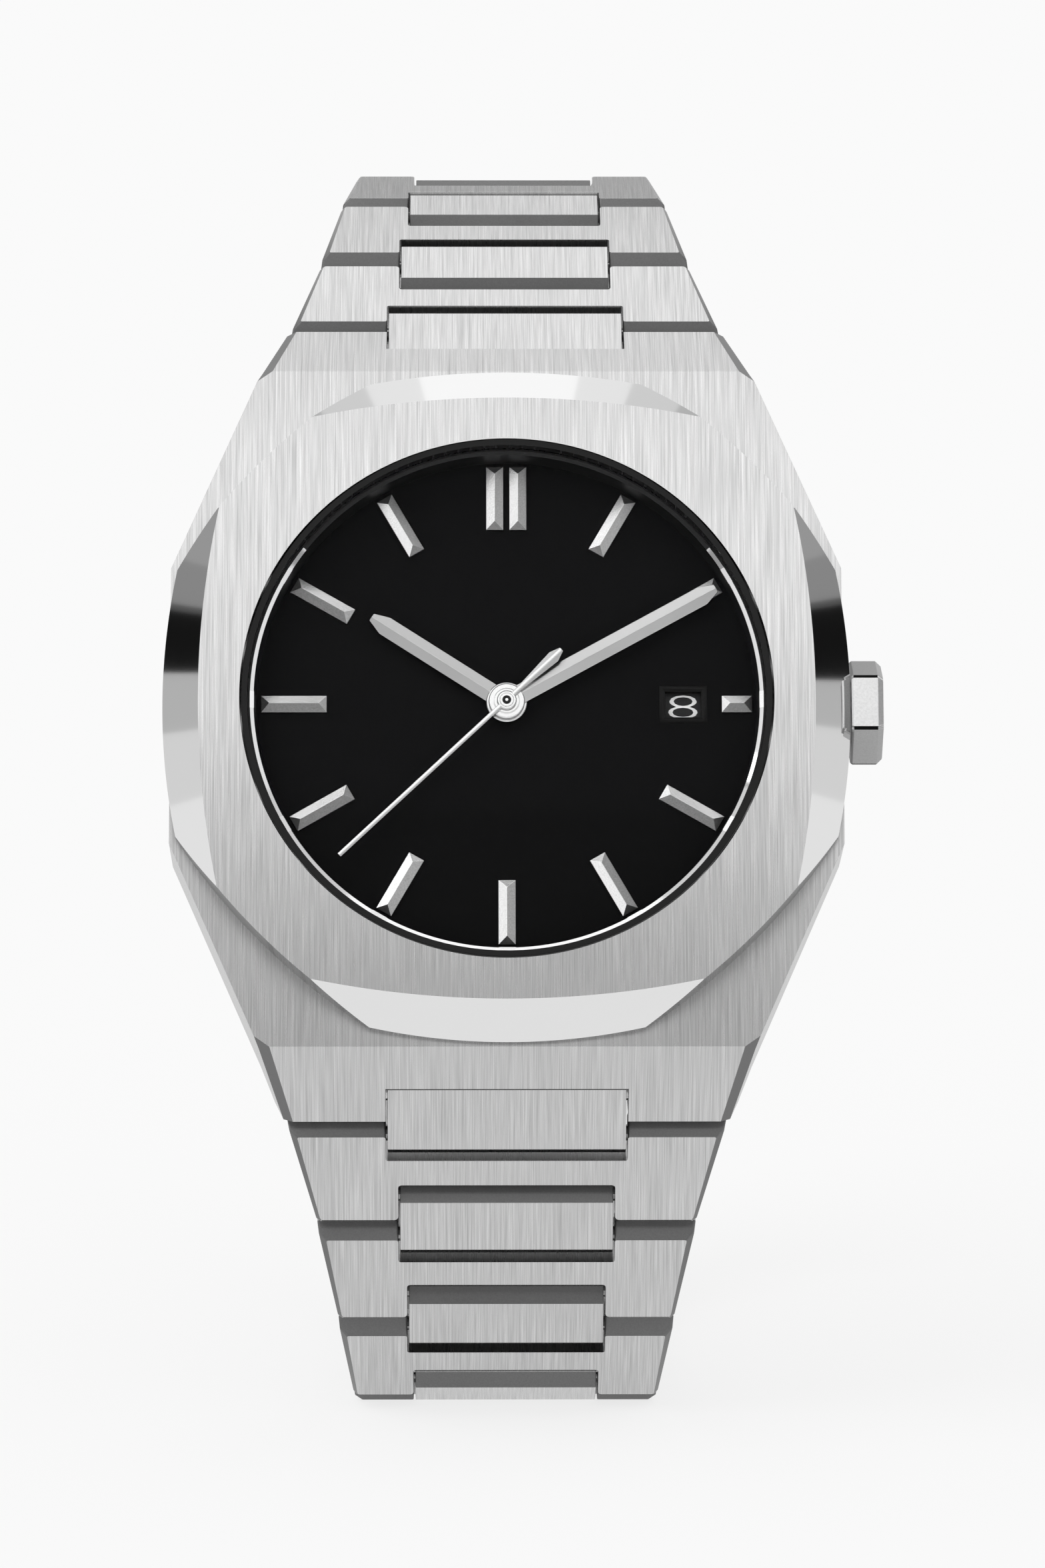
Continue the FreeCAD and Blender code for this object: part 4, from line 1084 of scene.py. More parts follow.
@dataclass
class Bezel:
    """The eight-sided bezel: bowed sides, with a polished facet falling away on four of them."""

    seat: Seat
    reach: float = 20.95
    bow: float = 41.0
    facet_reach: float = 18.72
    facet_bow: float = 58.0
    top: float = 2.4
    base: float = -0.2
    seat_radius: float = 16.1
    seat_height: float = 1.5
    lip_radius: float = 15.75
    edge_break: float = 0.12

    def side(self, turn: Array, count: int, reach: float, bow: float) -> Array:
        """How far a ring of bowed sides reaches at each direction.

        A side is an arc of radius R about a point c behind the centre, c = R - reach. At the angle p from the
        middle of the nearest side its distance is r = sqrt(R^2 - c^2 sin^2 p) - c cos p.

        Args:
            turn: the directions, in radians from the middle of a side.
            count: how many sides go round.
            reach: the distance at the middle of a side.
            bow: the side's radius.

        Returns:
            The distances.
        """
        span = 2 * np.pi / count
        near = (turn + span / 2) % span - span / 2
        behind = bow - reach
        return np.sqrt(bow**2 - (behind * np.sin(near)) ** 2) - behind * np.cos(near)

    def directions(self) -> Array:
        """The directions of the grid, with the corners and the facets' ends among them.

        Returns:
            The directions in radians.
        """
        even = np.linspace(0, np.pi / 4, 61)
        facet = self.side(even, 4, self.facet_reach, self.facet_bow)
        gap = facet - self.side(even, 8, self.reach, self.bow)
        order = slice(None, None, -1) if gap[0] > gap[-1] else slice(None)
        last = np.interp(0.0, gap[order], even[order])
        eighth = np.unique(np.append(even, [np.pi / 8, last]).round(9))
        quarter = np.concatenate([eighth, (np.pi / 2 - eighth[::-1])[1:-1]])
        return np.concatenate([quarter + turn * np.pi / 2 for turn in range(4)])

    def solid(self) -> Solid:
        """The bezel's whole skin.

        At each direction a closed profile goes up the seat's wall, over the face to the crease, down the
        facet to the rim and down the wall. On a facet the height is top - (d - R), where d is the distance
        from the facet's own centre.

        Returns:
            The solid.
        """
        turn = self.directions()
        rim = self.side(turn, 8, self.reach, self.bow)
        crease = np.minimum(self.side(turn, 4, self.facet_reach, self.facet_bow), rim)
        nearest = (turn + np.pi / 4) % (np.pi / 2) - np.pi / 4
        behind = self.facet_bow - self.facet_reach
        away = np.hypot(rim * np.cos(nearest) + behind, rim * np.sin(nearest))
        fall = np.where(crease < rim, np.maximum(away - self.facet_bow, 0), 0)
        profile = [
            (self.lip_radius, self.base),
            (self.lip_radius, self.seat_height),
            (self.seat_radius, self.seat_height),
            (self.seat_radius, self.top - self.edge_break),
            (self.seat_radius + self.edge_break, self.top),
            (crease, self.top),
            (rim, self.top - fall),
            (rim, self.base),
        ]
        flat = np.ones_like(turn)
        reach, level = (np.stack([flat * part for part in row], axis=1) for row in zip(*profile))
        points = np.stack([reach * np.cos(turn)[:, None], reach * np.sin(turn)[:, None], level], axis=2)
        rows, columns = reach.shape
        return Solid(points.reshape(-1, 3), [tuple(q) for q in grid_quads(rows, columns, True, True)])

    def choose(self, normals: Array, centres: Array) -> Array:
        """A brushed face, polished facets and drawn walls.

        Args:
            normals: the faces' normals.
            centres: the faces' centres.

        Returns:
            Each face's finish, counted from 0.
        """
        facet = (normals[:, 2] > WALL) & (normals[:, 2] < LEVEL)
        wall = np.abs(normals[:, 2]) <= WALL
        return np.where(facet, 1, np.where(wall, 2, 0))

    def build(self, maker: Maker) -> None:
        """Makes the bezel."""
        finishes, nodes = (Finish.BRUSHED, Finish.POLISHED, Finish.SIDE), ("bezel",)
        maker.make("bezel_ring", self.solid(), self.seat, "case", finishes, nodes, self.choose, edge=0.05)


@dataclass
class Glazing:
    """The crystal and the sloped ring under it, with polished blocks on its lip from two round to ten."""

    seat: Seat
    radius: float = 15.75
    seat_height: float = 1.5
    top: float = 2.5
    edge_break: float = 0.2
    flange_foot: float = 15.2
    flange_rim: float = 15.38
    flange_lip: float = 15.6
    flange_back: float = 15.73
    rim_height: float = 1.32
    lip_height: float = 1.43
    # Where, as a share of the radius up the dial, the lip's painted shade starts.
    lip_end: float = 0.62
    tick_half_width: float = 0.52
    tick_proud: float = 0.03
    tick_depth: float = 0.1
    hours: int = 12
    tick_hours: tuple[int, int] = (2, 10)

    def ticks(self) -> Solid:
        """The blocks on the flange's lip, one at each hour from two to ten, with tops that slope as it does.

        Returns:
            The blocks.
        """
        w, proud, depth = self.tick_half_width, self.tick_proud, self.tick_depth
        low = self.rim_height - depth
        block = box((-w, self.flange_rim - proud, low), (w, self.flange_lip, low + depth))
        slope = (self.lip_height - self.rim_height) / (self.flange_lip - self.flange_rim)
        top = block.points[:, 2] > low + depth / 2
        block.points[top, 2] = self.rim_height + proud + slope * (block.points[top, 1] - self.flange_rim)
        first, last = self.tick_hours
        total = block.spun(360 / self.hours * first)
        for hour in range(first + 1, last + 1):
            total = total + block.spun(360 / self.hours * hour)
        return total

    def polished_lip(self, normals: Array, centres: Array) -> Array:
        """Polished steel on the flange's lip from two round to ten, dark lacquer on the lip from ten to two
        as painted shade from the bezel, and lacquer elsewhere.

        Args:
            normals: the faces' normals.
            centres: the faces' centres.

        Returns:
            Each face's finish, counted from 0.
        """
        reach = np.hypot(centres[:, 0], centres[:, 1])
        lip = (reach > self.flange_rim) & (reach < self.flange_lip)
        # Above that share of the radius the lip takes the dark lacquer: painted shade.
        lip &= (centres[:, 2] > self.rim_height) & (centres[:, 1] < self.lip_end * reach)
        return np.where(lip, 1, 0)

    def build(self, maker: Maker) -> None:
        """Makes the crystal, the flange ring and its ticks.

        Args:
            maker: the maker.
        """
        low, high = self.seat_height, self.top
        glass = [(0.0, low), (self.radius, low), (self.radius, high - self.edge_break)]
        glass += [(self.radius - self.edge_break, high), (0.0, high)]
        maker.make(
            "crystal_disc",
            turned(glass, 192),
            self.seat,
            "case",
            (Finish.CRYSTAL,),
            ("crystal",),
            edge=0,
            slot="sapphire",
        )
        ring = [(self.flange_foot, 0.0), (self.flange_back, 0.0), (self.flange_back, self.lip_height)]
        ring += [(self.flange_lip, self.lip_height), (self.flange_rim, self.rim_height)]
        finishes = (Finish.RING, Finish.POLISHED)
        maker.make(
            "flange",
            turned(ring, 192),
            self.seat,
            "case",
            finishes,
            ("flange_ring",),
            self.polished_lip,
            edge=0,
            slot="dial",
        )
        maker.make("flange_ticks", self.ticks(), self.seat, "case", (Finish.TICK,), edge=0, slot="dial")


@dataclass
class DialFurniture:
    """The applied markers, the date window's frame and the numerals of the date ring."""

    seat: Seat
    reach: float = 14.95
    length: float = 4.0
    short_length: float = 1.85
    half_width: float = 0.525
    pair_spread: float = 0.71
    eave: float = 0.12
    ridge: float = 0.42
    hip: float = 0.5
    window_reach: float = 10.75
    window: tuple[float, float] = (1.1, 0.8)
    frame_width: float = 0.35
    frame_height: float = 0.06
    frame_ridge: tuple[float, float] = (0.7, 0.45)
    ring_height: float = -0.5
    numeral_size: float = 2.22
    numeral_stretch: float = 2.04
    numeral_thinning: float = 0.045
    numeral_lag: float = 0.25
    numeral_thickness: float = 0.012
    pair_squeeze: float = 0.62
    roof_lean: float = 0.35
    day: int = 8
    days: int = 31

    def marker(self, length: float, aside: float) -> Solid:
        """A bar with a hipped roof, lying on twelve o'clock.

        Args:
            length: its length along the radius.
            aside: how far it stands to the right of the radius.

        Returns:
            The bar.
        """
        w, inner, outer = self.half_width, self.reach - length, self.reach
        plan = [(-w, inner), (w, inner), (w, outer), (-w, outer)]
        points = [(x, y, z) for z in (0.0, self.eave) for x, y in plan]
        points += [(0.0, inner + self.hip, self.ridge), (0.0, outer - self.hip, self.ridge)]
        walls = [(i, (i + 1) % 4, (i + 1) % 4 + 4, i + 4) for i in range(4)]
        roof = [(4, 5, 8), (5, 6, 9, 8), (6, 7, 9), (7, 4, 8, 9)]
        return Solid(np.array(points) + np.array([aside, 0, 0]), [(3, 2, 1, 0)] + walls + roof)

    def markers(self) -> Solid:
        """The markers of all twelve hours, doubled at twelve and short at three.

        Returns:
            The markers.
        """
        total = self.marker(self.length, -self.pair_spread) + self.marker(self.length, self.pair_spread)
        for hour in range(1, 12):
            length = self.short_length if hour == 3 else self.length
            total = total + self.marker(length, 0.0).spun(30 * hour)
        return total

    def frame_ring(self) -> Solid:
        """The window's frame: a profile carried round a rectangle, mitred at its corners.

        Each profile point stands a distance outside the window's edge, at a height.

        Returns:
            The frame.
        """
        wide, high = self.frame_width, self.frame_height
        profile = [(0.0, 0.0), (wide, 0.0), (wide, high / 2)]
        profile += [(wide * share, high) for share in self.frame_ridge]
        spread, height = np.array(profile).T
        signs = np.array([[1, 1], [-1, 1], [-1, -1], [1, -1]])
        corner = (np.array(self.window)[None, None] + spread[None, :, None]) * signs[:, None]
        level = np.broadcast_to(height[None, :, None], (4, len(profile), 1))
        points = np.concatenate([corner, level], axis=2).reshape(-1, 3)
        quads = [tuple(q) for q in grid_quads(4, len(profile), True, True)]
        return Solid(points, quads).moved(x=self.window_reach)

    def numeral(self, text: str) -> tuple[Array, list]:
        """A number as a thin mesh, centred on zero and reading along X.

        Args:
            text: the number.

        Returns:
            Its points in millimetres and its faces.
        """
        curve = bpy.data.curves.new("numeral", "FONT")
        curve.body = text
        curve.size = self.numeral_size
        curve.resolution_u = 3
        curve.align_x, curve.align_y = "CENTER", "CENTER"
        curve.extrude = self.numeral_thickness
        curve.offset = -self.numeral_thinning
        carrier = placed("numeral", curve)
        bpy.context.view_layer.update()
        mesh = bpy.data.meshes.new_from_object(carrier.evaluated_get(bpy.context.evaluated_depsgraph_get()))
        bpy.data.objects.remove(carrier)
        points = np.empty(len(mesh.vertices) * 3)
        mesh.vertices.foreach_get("co", points)
        points = points.reshape(-1, 3)
        points[:, :2] -= (points[:, :2].max(axis=0) + points[:, :2].min(axis=0)) / 2
        points[:, 0] *= self.numeral_stretch * (1.0 if len(text) == 1 else self.pair_squeeze)
        return points, [tuple(face.vertices) for face in mesh.polygons]

    def numerals(self) -> Solid:
        """The days of the month round the date ring, with one behind the window.

        Returns:
            The numerals.
        """
        total = Solid(np.empty((0, 3)), [])
        for day in range(1, self.days + 1):
            numeral = Solid(*self.numeral(str(day))).moved(x=self.window_reach, z=self.ring_height)
            total = total + numeral.spun(360 / self.days * (day - self.day) + self.numeral_lag)
        return total

    def choose(self, normals: Array, centres: Array) -> Array:
        """Grainy, darker steel as painted shade where a roof faces right, deeper painted shade where it faces
        down, and bright steel elsewhere.

        Args:
            normals: the faces' normals.
            centres: the faces' centres.

        Returns:
            Each face's finish, counted from 0.
        """
        # The right- and down-facing roofs are darker copies of the bright steel: painted shade.
        down, right = normals[:, 1] < -self.roof_lean, normals[:, 0] > self.roof_lean
        return np.where(down, 2, np.where(right, 1, 0))

    def build(self, maker: Maker) -> None:
        """Makes the markers, the frame and the numerals.

        Args:
            maker: the maker.
        """
        bright, steel = (Finish.MARKER, Finish.FROSTED, Finish.UNDERCUT), (Finish.GUNMETAL,)
        nodes, slot = ("hour_markers",), "hands_and_markers"
        maker.make("markers", self.markers(), self.seat, "case", bright, nodes, self.choose, 0.02, slot)
        maker.make("window_frame", self.frame_ring(), self.seat, "case", steel, edge=0.015, slot=slot)
        mesh = bpy.data.meshes.new("numerals")
        shape = self.numerals()
        mesh.from_pydata(shape.points.tolist(), [], shape.faces)
        maker.finish("date_numerals", mesh, self.seat, "date_ring", (Finish.INK,), edge=0, slot="date_ring")


@dataclass
class Hand:
    """A hand on its pipe: a blade whose top falls to both sides, and a stacked hub."""

    name: str
    seat: Seat
    height: float
    hub: float
    pipe: float
    bore: float
    outline: Array
    thickness: float = 0.24
    eave: float = 0.06
    pipe_foot: float = -0.7
    hub_break: tuple[float, float] = (0.06, 0.05)
    collar: tuple[float, float] = (0.72, 0.68)
    collar_height: float = 0.03

    def blade(self) -> Solid:
        """The blade: its outline stands upright to a top of height e + (h - e)(1 - |x| / w).

        Returns:
            The blade.
        """
        half = np.abs(self.outline[:, 0]).max()
        low = at_height(self.outline, self.height)
        top = self.height + self.eave + (self.thickness - self.eave) * (1 - np.abs(self.outline[:, 0]) / half)
        high = np.column_stack([self.outline, top])
        count = len(self.outline)
        walls = [(i, (i + 1) % count, (i + 1) % count + count, i + count) for i in range(count)]
        right = tuple(count + i for i in range(count) if self.outline[i, 0] >= -1e-9)
        left_run = [i for i in range(count) if self.outline[i, 0] <= 1e-9]
        start = next(i for i, item in enumerate(left_run) if item and left_run[i - 1] != item - 1)
        left = tuple(count + i for i in left_run[start:] + left_run[:start])
        return Solid(np.vstack([low, high]), [tuple(range(count))[::-1]] + walls + [right, left])

    def post(self) -> Solid:
        """The hub with its pipe, turned from one profile.

        Returns:
            The hub.
        """
        top = self.height + self.thickness
        inward, down = self.hub_break
        foot, rim = self.collar
        profile = [
            (self.bore, self.pipe_foot),
            (self.pipe, self.pipe_foot),
            (self.pipe, self.height),
            (self.hub, self.height),
            (self.hub, top - down),
            (self.hub - inward, top),
            (self.hub * foot, top),
            (self.hub * rim, top + self.collar_height),
            (self.bore, top + self.collar_height),
        ]
        return turned(profile, 64)

    def build(self, maker: Maker) -> None:
        """Makes the hand as one piece.

        Args:
            maker: the maker.
        """
        post = raw_mesh(f"{self.name}_post", self.post())
        mesh = joined(raw_mesh(self.name, self.blade()), [post])
        finish, slot, name = (Finish.HAND,), "hands_and_markers", self.name
        maker.finish(f"{name}_piece", mesh, self.seat, name, finish, (name,), edge=0.02, slot=slot)


@dataclass
class HandSet:
    """The three hands, as they stand on the dial."""

    seat: Seat
    angles: tuple[float, float, float] = (303.0, 61.0, 226.5)
    hour_length: float = 9.8
    minute_length: float = 14.6
    seconds_length: float = 14.0
    half_width: float = 0.6
    point: float = 0.94
    point_half_width: float = 0.25
    seconds_half_width: float = 0.14
    tail: float = 4.6
    tail_half_width: float = 0.38
    tail_waist: float = 3.95
    tail_root: float = 1.0
    # The hub's hole is a thin dark disc over the hub: painted shade.
    well_radius: float = 0.27
    well_height: float = 0.006
    arbor_radius: float = 0.09
    arbor_height: float = 0.02

    def baton(self, length: float) -> Array:
        """The outline of the hour or the minute hand, with points on its ridge.

        Args:
            length: how far the hand reaches.

        Returns:
            The outline.
        """
        w, tip, q = self.half_width, length, self.point_half_width
        right = [(0.0, 0.0), (w, 0.0), (w, tip - self.point), (q, tip)]
        return np.array(right + [(0.0, tip)] + [(-x, y) for x, y in reversed(right[1:])])

    def sweep(self) -> Array:
        """The outline of the seconds hand with its leaf-shaped tail.

        Returns:
            The outline.
        """
        s, t, tip = self.seconds_half_width, self.tail_half_width, self.seconds_length
        right = [(0.0, -self.tail), (s, -self.tail), (t, -self.tail_waist), (s, -self.tail_root), (s, tip)]
        return np.array(right + [(0.0, tip)] + [(-x, y) for x, y in reversed(right[1:])])

    def build(self, maker: Maker) -> None:
        """Makes the three hands.

        Args:
            maker: the maker.
        """
        seats = [self.seat.turned(angle) for angle in self.angles]
        hour, minute = self.baton(self.hour_length), self.baton(self.minute_length)
        Hand("hour_hand", seats[0], height=0.45, hub=1.25, pipe=0.75, bore=0.49, outline=hour).build(maker)
        Hand("minute_hand", seats[1], height=0.75, hub=1.1, pipe=0.45, bore=0.16, outline=minute).build(maker)
        seconds = Hand(
            "seconds_hand",
            seats[2],
            height=1.05,
            hub=0.6,
            pipe=0.12,
            bore=0.05,
            outline=self.sweep(),
            thickness=0.2,
            eave=0.14,
        )
        seconds.build(maker)
        self.arbor(maker, seconds.height + seconds.thickness + seconds.collar_height)

    def arbor(self, maker: Maker, height: float) -> None:
        """Makes a thin dark disc in the middle of the hub, painted shade standing for its hole, with the
        arbor's bright end in it.

        Args:
            maker: the maker.
            height: the hub's top.
        """
        hole_shade_disc = disc(self.well_radius, height, height + self.well_height, 32)
        tip = disc(self.arbor_radius, height, height + self.arbor_height, 24)
        finishes, slot, name = (Finish.HAND, Finish.RUBBER), "hands_and_markers", "seconds_arbor_end_and_hole_shade"

        def dark_well(normals: Array, centres: Array) -> Array:
            """Returns the dark finish outside the arbor's end: painted shade for the hole."""
            return np.where(np.hypot(centres[:, 0], centres[:, 1]) > self.arbor_radius, 1, 0)

        shape = hole_shade_disc + tip
        maker.make(name, shape, self.seat, "seconds_hand", finishes, (), dark_well, edge=0, slot=slot)


@dataclass
class Crown:
    """The six-sided crown: grooves where its flats meet, and a chamfer round its outer end."""

    seat: Seat
    height: float = -2.2
    radius: float = 3.3
    start: float = 21.0
    length: float = 1.95
    chamfer: float = 0.35
    groove: float = 0.13
    groove_depth: float = 0.17
    bore: float = 1.31
    bore_depth: float = 0.9
    inner_break: float = 0.12
    groove_half_angle: float = 3.0
    front_lean: float = 0.6

    def outline(self, scale: float) -> Array:
        """The crown's hexagon with a groove at each corner, drawn in by a scale.

        Args:
            scale: how large it is drawn.

        Returns:
            The outline.
        """
        turns = np.radians(60 * np.arange(6) + 30)
        corner = self.radius * np.column_stack([np.cos(turns), np.sin(turns)])
        before, after = np.roll(corner, 1, axis=0) - corner, np.roll(corner, -1, axis=0) - corner
        start = corner + before / self.radius * self.groove
        end = corner + after / self.radius * self.groove
        floor = corner * (1 - self.groove_depth / self.radius)
        return np.stack([start, floor, end], axis=1).reshape(-1, 2) * scale

    def pick(self, normals: Array, centres: Array) -> Array:
        """The front flat's finish, a darker copy on the other flats as painted shade and, within a few
        degrees of a corner, near-black steel in the grooves as painted shade.

        Args:
            normals: the faces' normals.
            centres: the faces' centres.

        Returns:
            Each face's finish, counted from 0.
        """
        turn = np.degrees(np.arctan2(centres[:, 1], centres[:, 0]))
        from_corner = np.abs(turn % 60 - 30)
        groove = (from_corner < self.groove_half_angle) & (np.abs(normals[:, 2]) < WALL)
        # The other flats and the grooves are darker only as painted shade.
        return np.where(groove, 2, np.where(normals[:, 0] < -self.front_lean, 0, 1))

    def build(self, maker: Maker) -> None:
        """Makes the crown, bored for the tube.

        Args:
            maker: the maker.
        """
        axes = self.seat.axes
        turned_axes = np.column_stack([-axes[:, 2], axes[:, 1], axes[:, 0]])
        seat = Seat(self.seat.origin + axes[:, 2] * self.height, turned_axes)
        end = self.start + self.length
        small = (self.radius - self.chamfer) / self.radius
        slight = (self.radius - self.inner_break) / self.radius
        places = (
            (slight, self.start),
            (1.0, self.start + self.inner_break),
            (1.0, end - self.chamfer),
            (small, end),
        )
        shape = loft(np.stack([at_height(self.outline(scale), at) for scale, at in places]))
        bore = disc(self.bore, self.start - OVERCUT, self.start + self.bore_depth, 48)
        mesh = carved(raw_mesh("crown", shape), [bore])
        finishes = (Finish.CROWN, Finish.CROWN_SIDE, Finish.GUNMETAL)
        maker.finish("crown_knob", mesh, seat, "crown_and_stem", finishes, ("crown",), self.pick, edge=0.03)


@dataclass
class CaseBack:
    """The back: a stepped ring, its window and six slotted screws."""

    seat: Seat
    radius: float = 17.6
    height: float = -8.0
    case_bottom: float = -7.0
    step: float = 0.4
    bore: float = 15.72
    window: float = 13.0
    lip: float = 0.8
    window_thickness: float = 1.0
    screw_circle: float = 15.85
    screw_radius: float = 0.8
    screw_sunk: float = 0.1
    screw_play: float = 0.03
    screw_break: float = 0.08
    screws: int = 6
    slot_half_length: float = 1.0
    slot_half_width: float = 0.12
    slot_depth: float = 0.3

    def build(self, maker: Maker) -> None:
        """Makes the back, its screws and its window.

        Args:
            maker: the maker.
        """
        low, high = self.height, self.case_bottom
        ring = [
            (self.window, high + self.step),
            (self.bore, high + self.step),
            (self.bore, high),
            (self.radius, high),
            (self.radius, low + self.step),
            (self.radius - self.step, low),
            (self.window - self.lip, low),
            (self.window - self.lip, low + self.step),
            (self.window, low + self.step),
        ]
        step = 360 / self.screws
        hole = disc(self.screw_radius + self.screw_play, low - OVERCUT, high, 32).moved(y=self.screw_circle)
        holes = [hole.spun(step * turn) for turn in range(self.screws)]
        mesh = carved(raw_mesh("back", turned(ring, 160)), holes)
        maker.finish("back_ring", mesh, self.seat, "case", (Finish.LAPPED,), ("caseback",), edge=0.05)
        screw = self.screw(low + self.screw_sunk, high)
        copies = []
        for turn in range(1, self.screws):
            copies.append(screw.copy())
            copies[-1].transform(Matrix.Rotation(math.radians(step * turn), 4, "Z"))
        whole = joined(screw, copies)
        steel, nodes = (Finish.POLISHED,), ("caseback_screws",)
        maker.finish("back_screws", whole, self.seat, "case", steel, nodes, edge=0)
        base = low + self.step
        pane = disc(self.window, base, base + self.window_thickness, 160)
        glass, nodes = (Finish.CRYSTAL,), ("caseback_window",)
        maker.make("back_window", pane, self.seat, "case", glass, nodes, edge=0, slot="sapphire")

    def screw(self, foot: float, high: float) -> bpy.types.Mesh:
        """One slotted screw, at twelve o'clock.

        Args:
            foot: the height of its slotted face.
            high: the height that it reaches into the back.

        Returns:
            Its mesh.
        """
        wide, slant = self.screw_radius, self.screw_break
        head = turned([(0, foot), (wide - slant, foot), (wide, foot + slant), (wide, high), (0, high)], 32)
        along, across, y = self.slot_half_length, self.slot_half_width, self.screw_circle
        slot = box((-along, y - across, foot - OVERCUT / 2), (along, y + across, foot + self.slot_depth))
        return carved(raw_mesh("screw", head.moved(y=y)), [slot])


# ---------------------------------------------------------------- the bracelet


@dataclass
class Bracelet:
    """Both sides of the bracelet: H-shaped links, joined by centre links that turn on their pins."""

    pitch: float = 6.75
    gap: float = 0.15
    thickness: float = 3.0
    bridge: float = 1.65
    width: float = 26.8
    taper: float = 3.6
    decay: float = 0.7
    bevel: float = 0.9
    far_bevel: float = 0.15
    relief: float = 0.7
    relief_depth: float = 0.3
    side_chamfer: tuple[float, float] = (0.42, 0.26)
    side_chamfer_depth: float = 0.38
    centre_length: float = 4.35
    centre_width: float = 14.5
    centre_taper: float = 1.5
    centre_bevel: float = 0.8
    centre_far_bevel: float = 0.4
    first_bevel: float = 0.12
    first_reach: float = 0.12
    centre_relief: float = 0.45
    spacing: float = 2.7
    pin_radius: float = 0.5
    pin_play: float = 0.04
    pin_reach: float = 0.4
    side_play: float = 0.12
    corner_rounds: tuple[float, ...] = (0.18, 0.16, 0.14, 0.2, 0.26, 0.22)
    round_steps: int = 5

    def tapered(self, start: float, taper: float, station: int) -> float:
        """Returns a width after so many links, each narrowing it less than the last."""
        return start - taper * (1 - self.decay**station) / (1 - self.decay)

    def centre_at(self, station: int) -> float:
        """Returns the width of the centre link after so many links."""
        return self.tapered(self.centre_width, self.centre_taper, station)

    def ends(self, half: float, bevels: tuple[float, float], relief: float, z: float) -> tuple[float, float]:
        """How far a piece reaches towards and away from the head at a height, by its side view.

        Args:
            half: half its length.
            bevels: its bevels at the near and the far end of its face.
            relief: how far its underside draws in.
            z: the height.

        Returns:
            The near and the far reach, both positive.
        """
        face = self.thickness / 2
        under = max(0.0, (-self.relief_depth - z) / (face - self.relief_depth)) * relief
        near, far = (max(0.0, z - (face - bevel)) for bevel in bevels)
        return half - under - near, half - under - far

    def link(self, number: int) -> Solid:
        """An H-shaped link as outlines at several heights.

        The outline's sides narrow from the near to the far end, its ends follow the side view, and above the
        side chamfer's foot both sides draw in.

        Args:
            number: which link it is, counted from the case.

        Returns:
            The link without its pins.
        """
        face, half = self.thickness / 2, (self.pitch - self.gap) / 2
        widths = [self.tapered(self.width, self.taper, n) / 2 for n in (number - 1, number)]
        notches = [self.centre_at(n) / 2 + self.side_play for n in (number - 1, number)]
        foot = face - self.side_chamfer_depth
        heights = [-face, -self.relief_depth, face - self.bevel, foot, face - self.far_bevel, face]
        levels = []
        for z in heights:
            near, far = self.ends(half, (self.bevel, self.far_bevel), self.relief, z)
            drawn = [part * max(0.0, (z - foot) / self.side_chamfer_depth) for part in self.side_chamfer]
            ys = np.array([-near, far])
            side = np.interp(ys, [-half, half], [widths[0] - drawn[0], widths[1] - drawn[1]])
            a, b, deep = notches[0], notches[1], self.bridge / 2
            right = [(a, -deep), (a, -near), (side[0], -near), (side[1], far), (b, far), (b, deep)]
            corners = np.array(right + [(-x, y) for x, y in reversed(right)])
            radii = self.corner_rounds + self.corner_rounds[::-1]
            levels.append(at_height(rounded(corners, radii, self.round_steps), z))
        return loft(np.stack(levels))

    def centre(self, width: float, first: bool) -> Solid:
        """A centre link without its bores.

        Args:
            width: how wide it is.
            first: whether it is the one in the case's notch, whose face runs straight into the case's.

        Returns:
            The link.
        """
        face, half = self.thickness / 2, self.centre_length / 2
        bevels = (self.first_bevel if first else self.centre_bevel, self.centre_far_bevel)
        heights = [-face, -self.relief_depth, face - self.centre_bevel, face - self.centre_far_bevel]
        heights += [face - self.first_bevel, face]
        levels = []
        for z in heights:
            near, far = self.ends(half, bevels, self.centre_relief, z)
            near += self.first_reach if first else 0.0
            w = width / 2
            corners = np.array([(-w, -near), (w, -near), (w, far), (-w, far)])
            levels.append(at_height(corners, z))
        return loft(np.stack(levels))

    def pick(self, normals: Array, centres: Array) -> Array:
        """Brushed faces, near bevels blasted and darkened as painted shade, chamfers lapped and darkened as
        painted shade, and drawn flanks.

        Args:
            normals: the faces' normals.
            centres: the faces' centres.

        Returns:
            Each face's finish, counted from 0.
        """
        # Near bevels and chamfers take darker copies of steel: painted shade.
        near = (normals[:, 1] < -WALL) & (normals[:, 2] > WALL)
        chamfer = (np.abs(normals[:, 0]) > WALL) & (normals[:, 2] > WALL)
        flank = np.abs(normals[:, 2]) < WALL
        return np.select([near, chamfer, flank], [1, 2, 3], 0)

    def build_side(self, maker: Maker, name: str, count: int, side: float, last: Array) -> None:
        """Makes all the pieces of one side.

        Args:
            maker: the maker.
            name: upper or lower.
            count: how many H-shaped links it has.
            side: 1 above and -1 below.
            last: the pin after the last link.
        """
        pairs = [(("centre", n), ("link", n + 1)) for n in range(count)]
        names = [f"{kind}_{name}_{number:02d}" for pair in pairs for kind, number in pair]
        pins = [pivot(f"{item}_bend") for item in names] + [last]
        finishes = (Finish.BRUSHED, Finish.BLASTED, Finish.CHAMFER, Finish.SIDE)
        for index, item in enumerate(names):
            seat = strand_seat(pins[index], pins[index + 1], side)
            station = index // 2
            if item.startswith("centre"):
                mesh = self.bored_centre(item, station)
            else:
                mesh = self.pinned_link(item, station, name == "lower" or station + 1 < count)
            maker.finish(f"{item}_piece", mesh, seat, item, finishes, (item,), self.pick, edge=0.05)

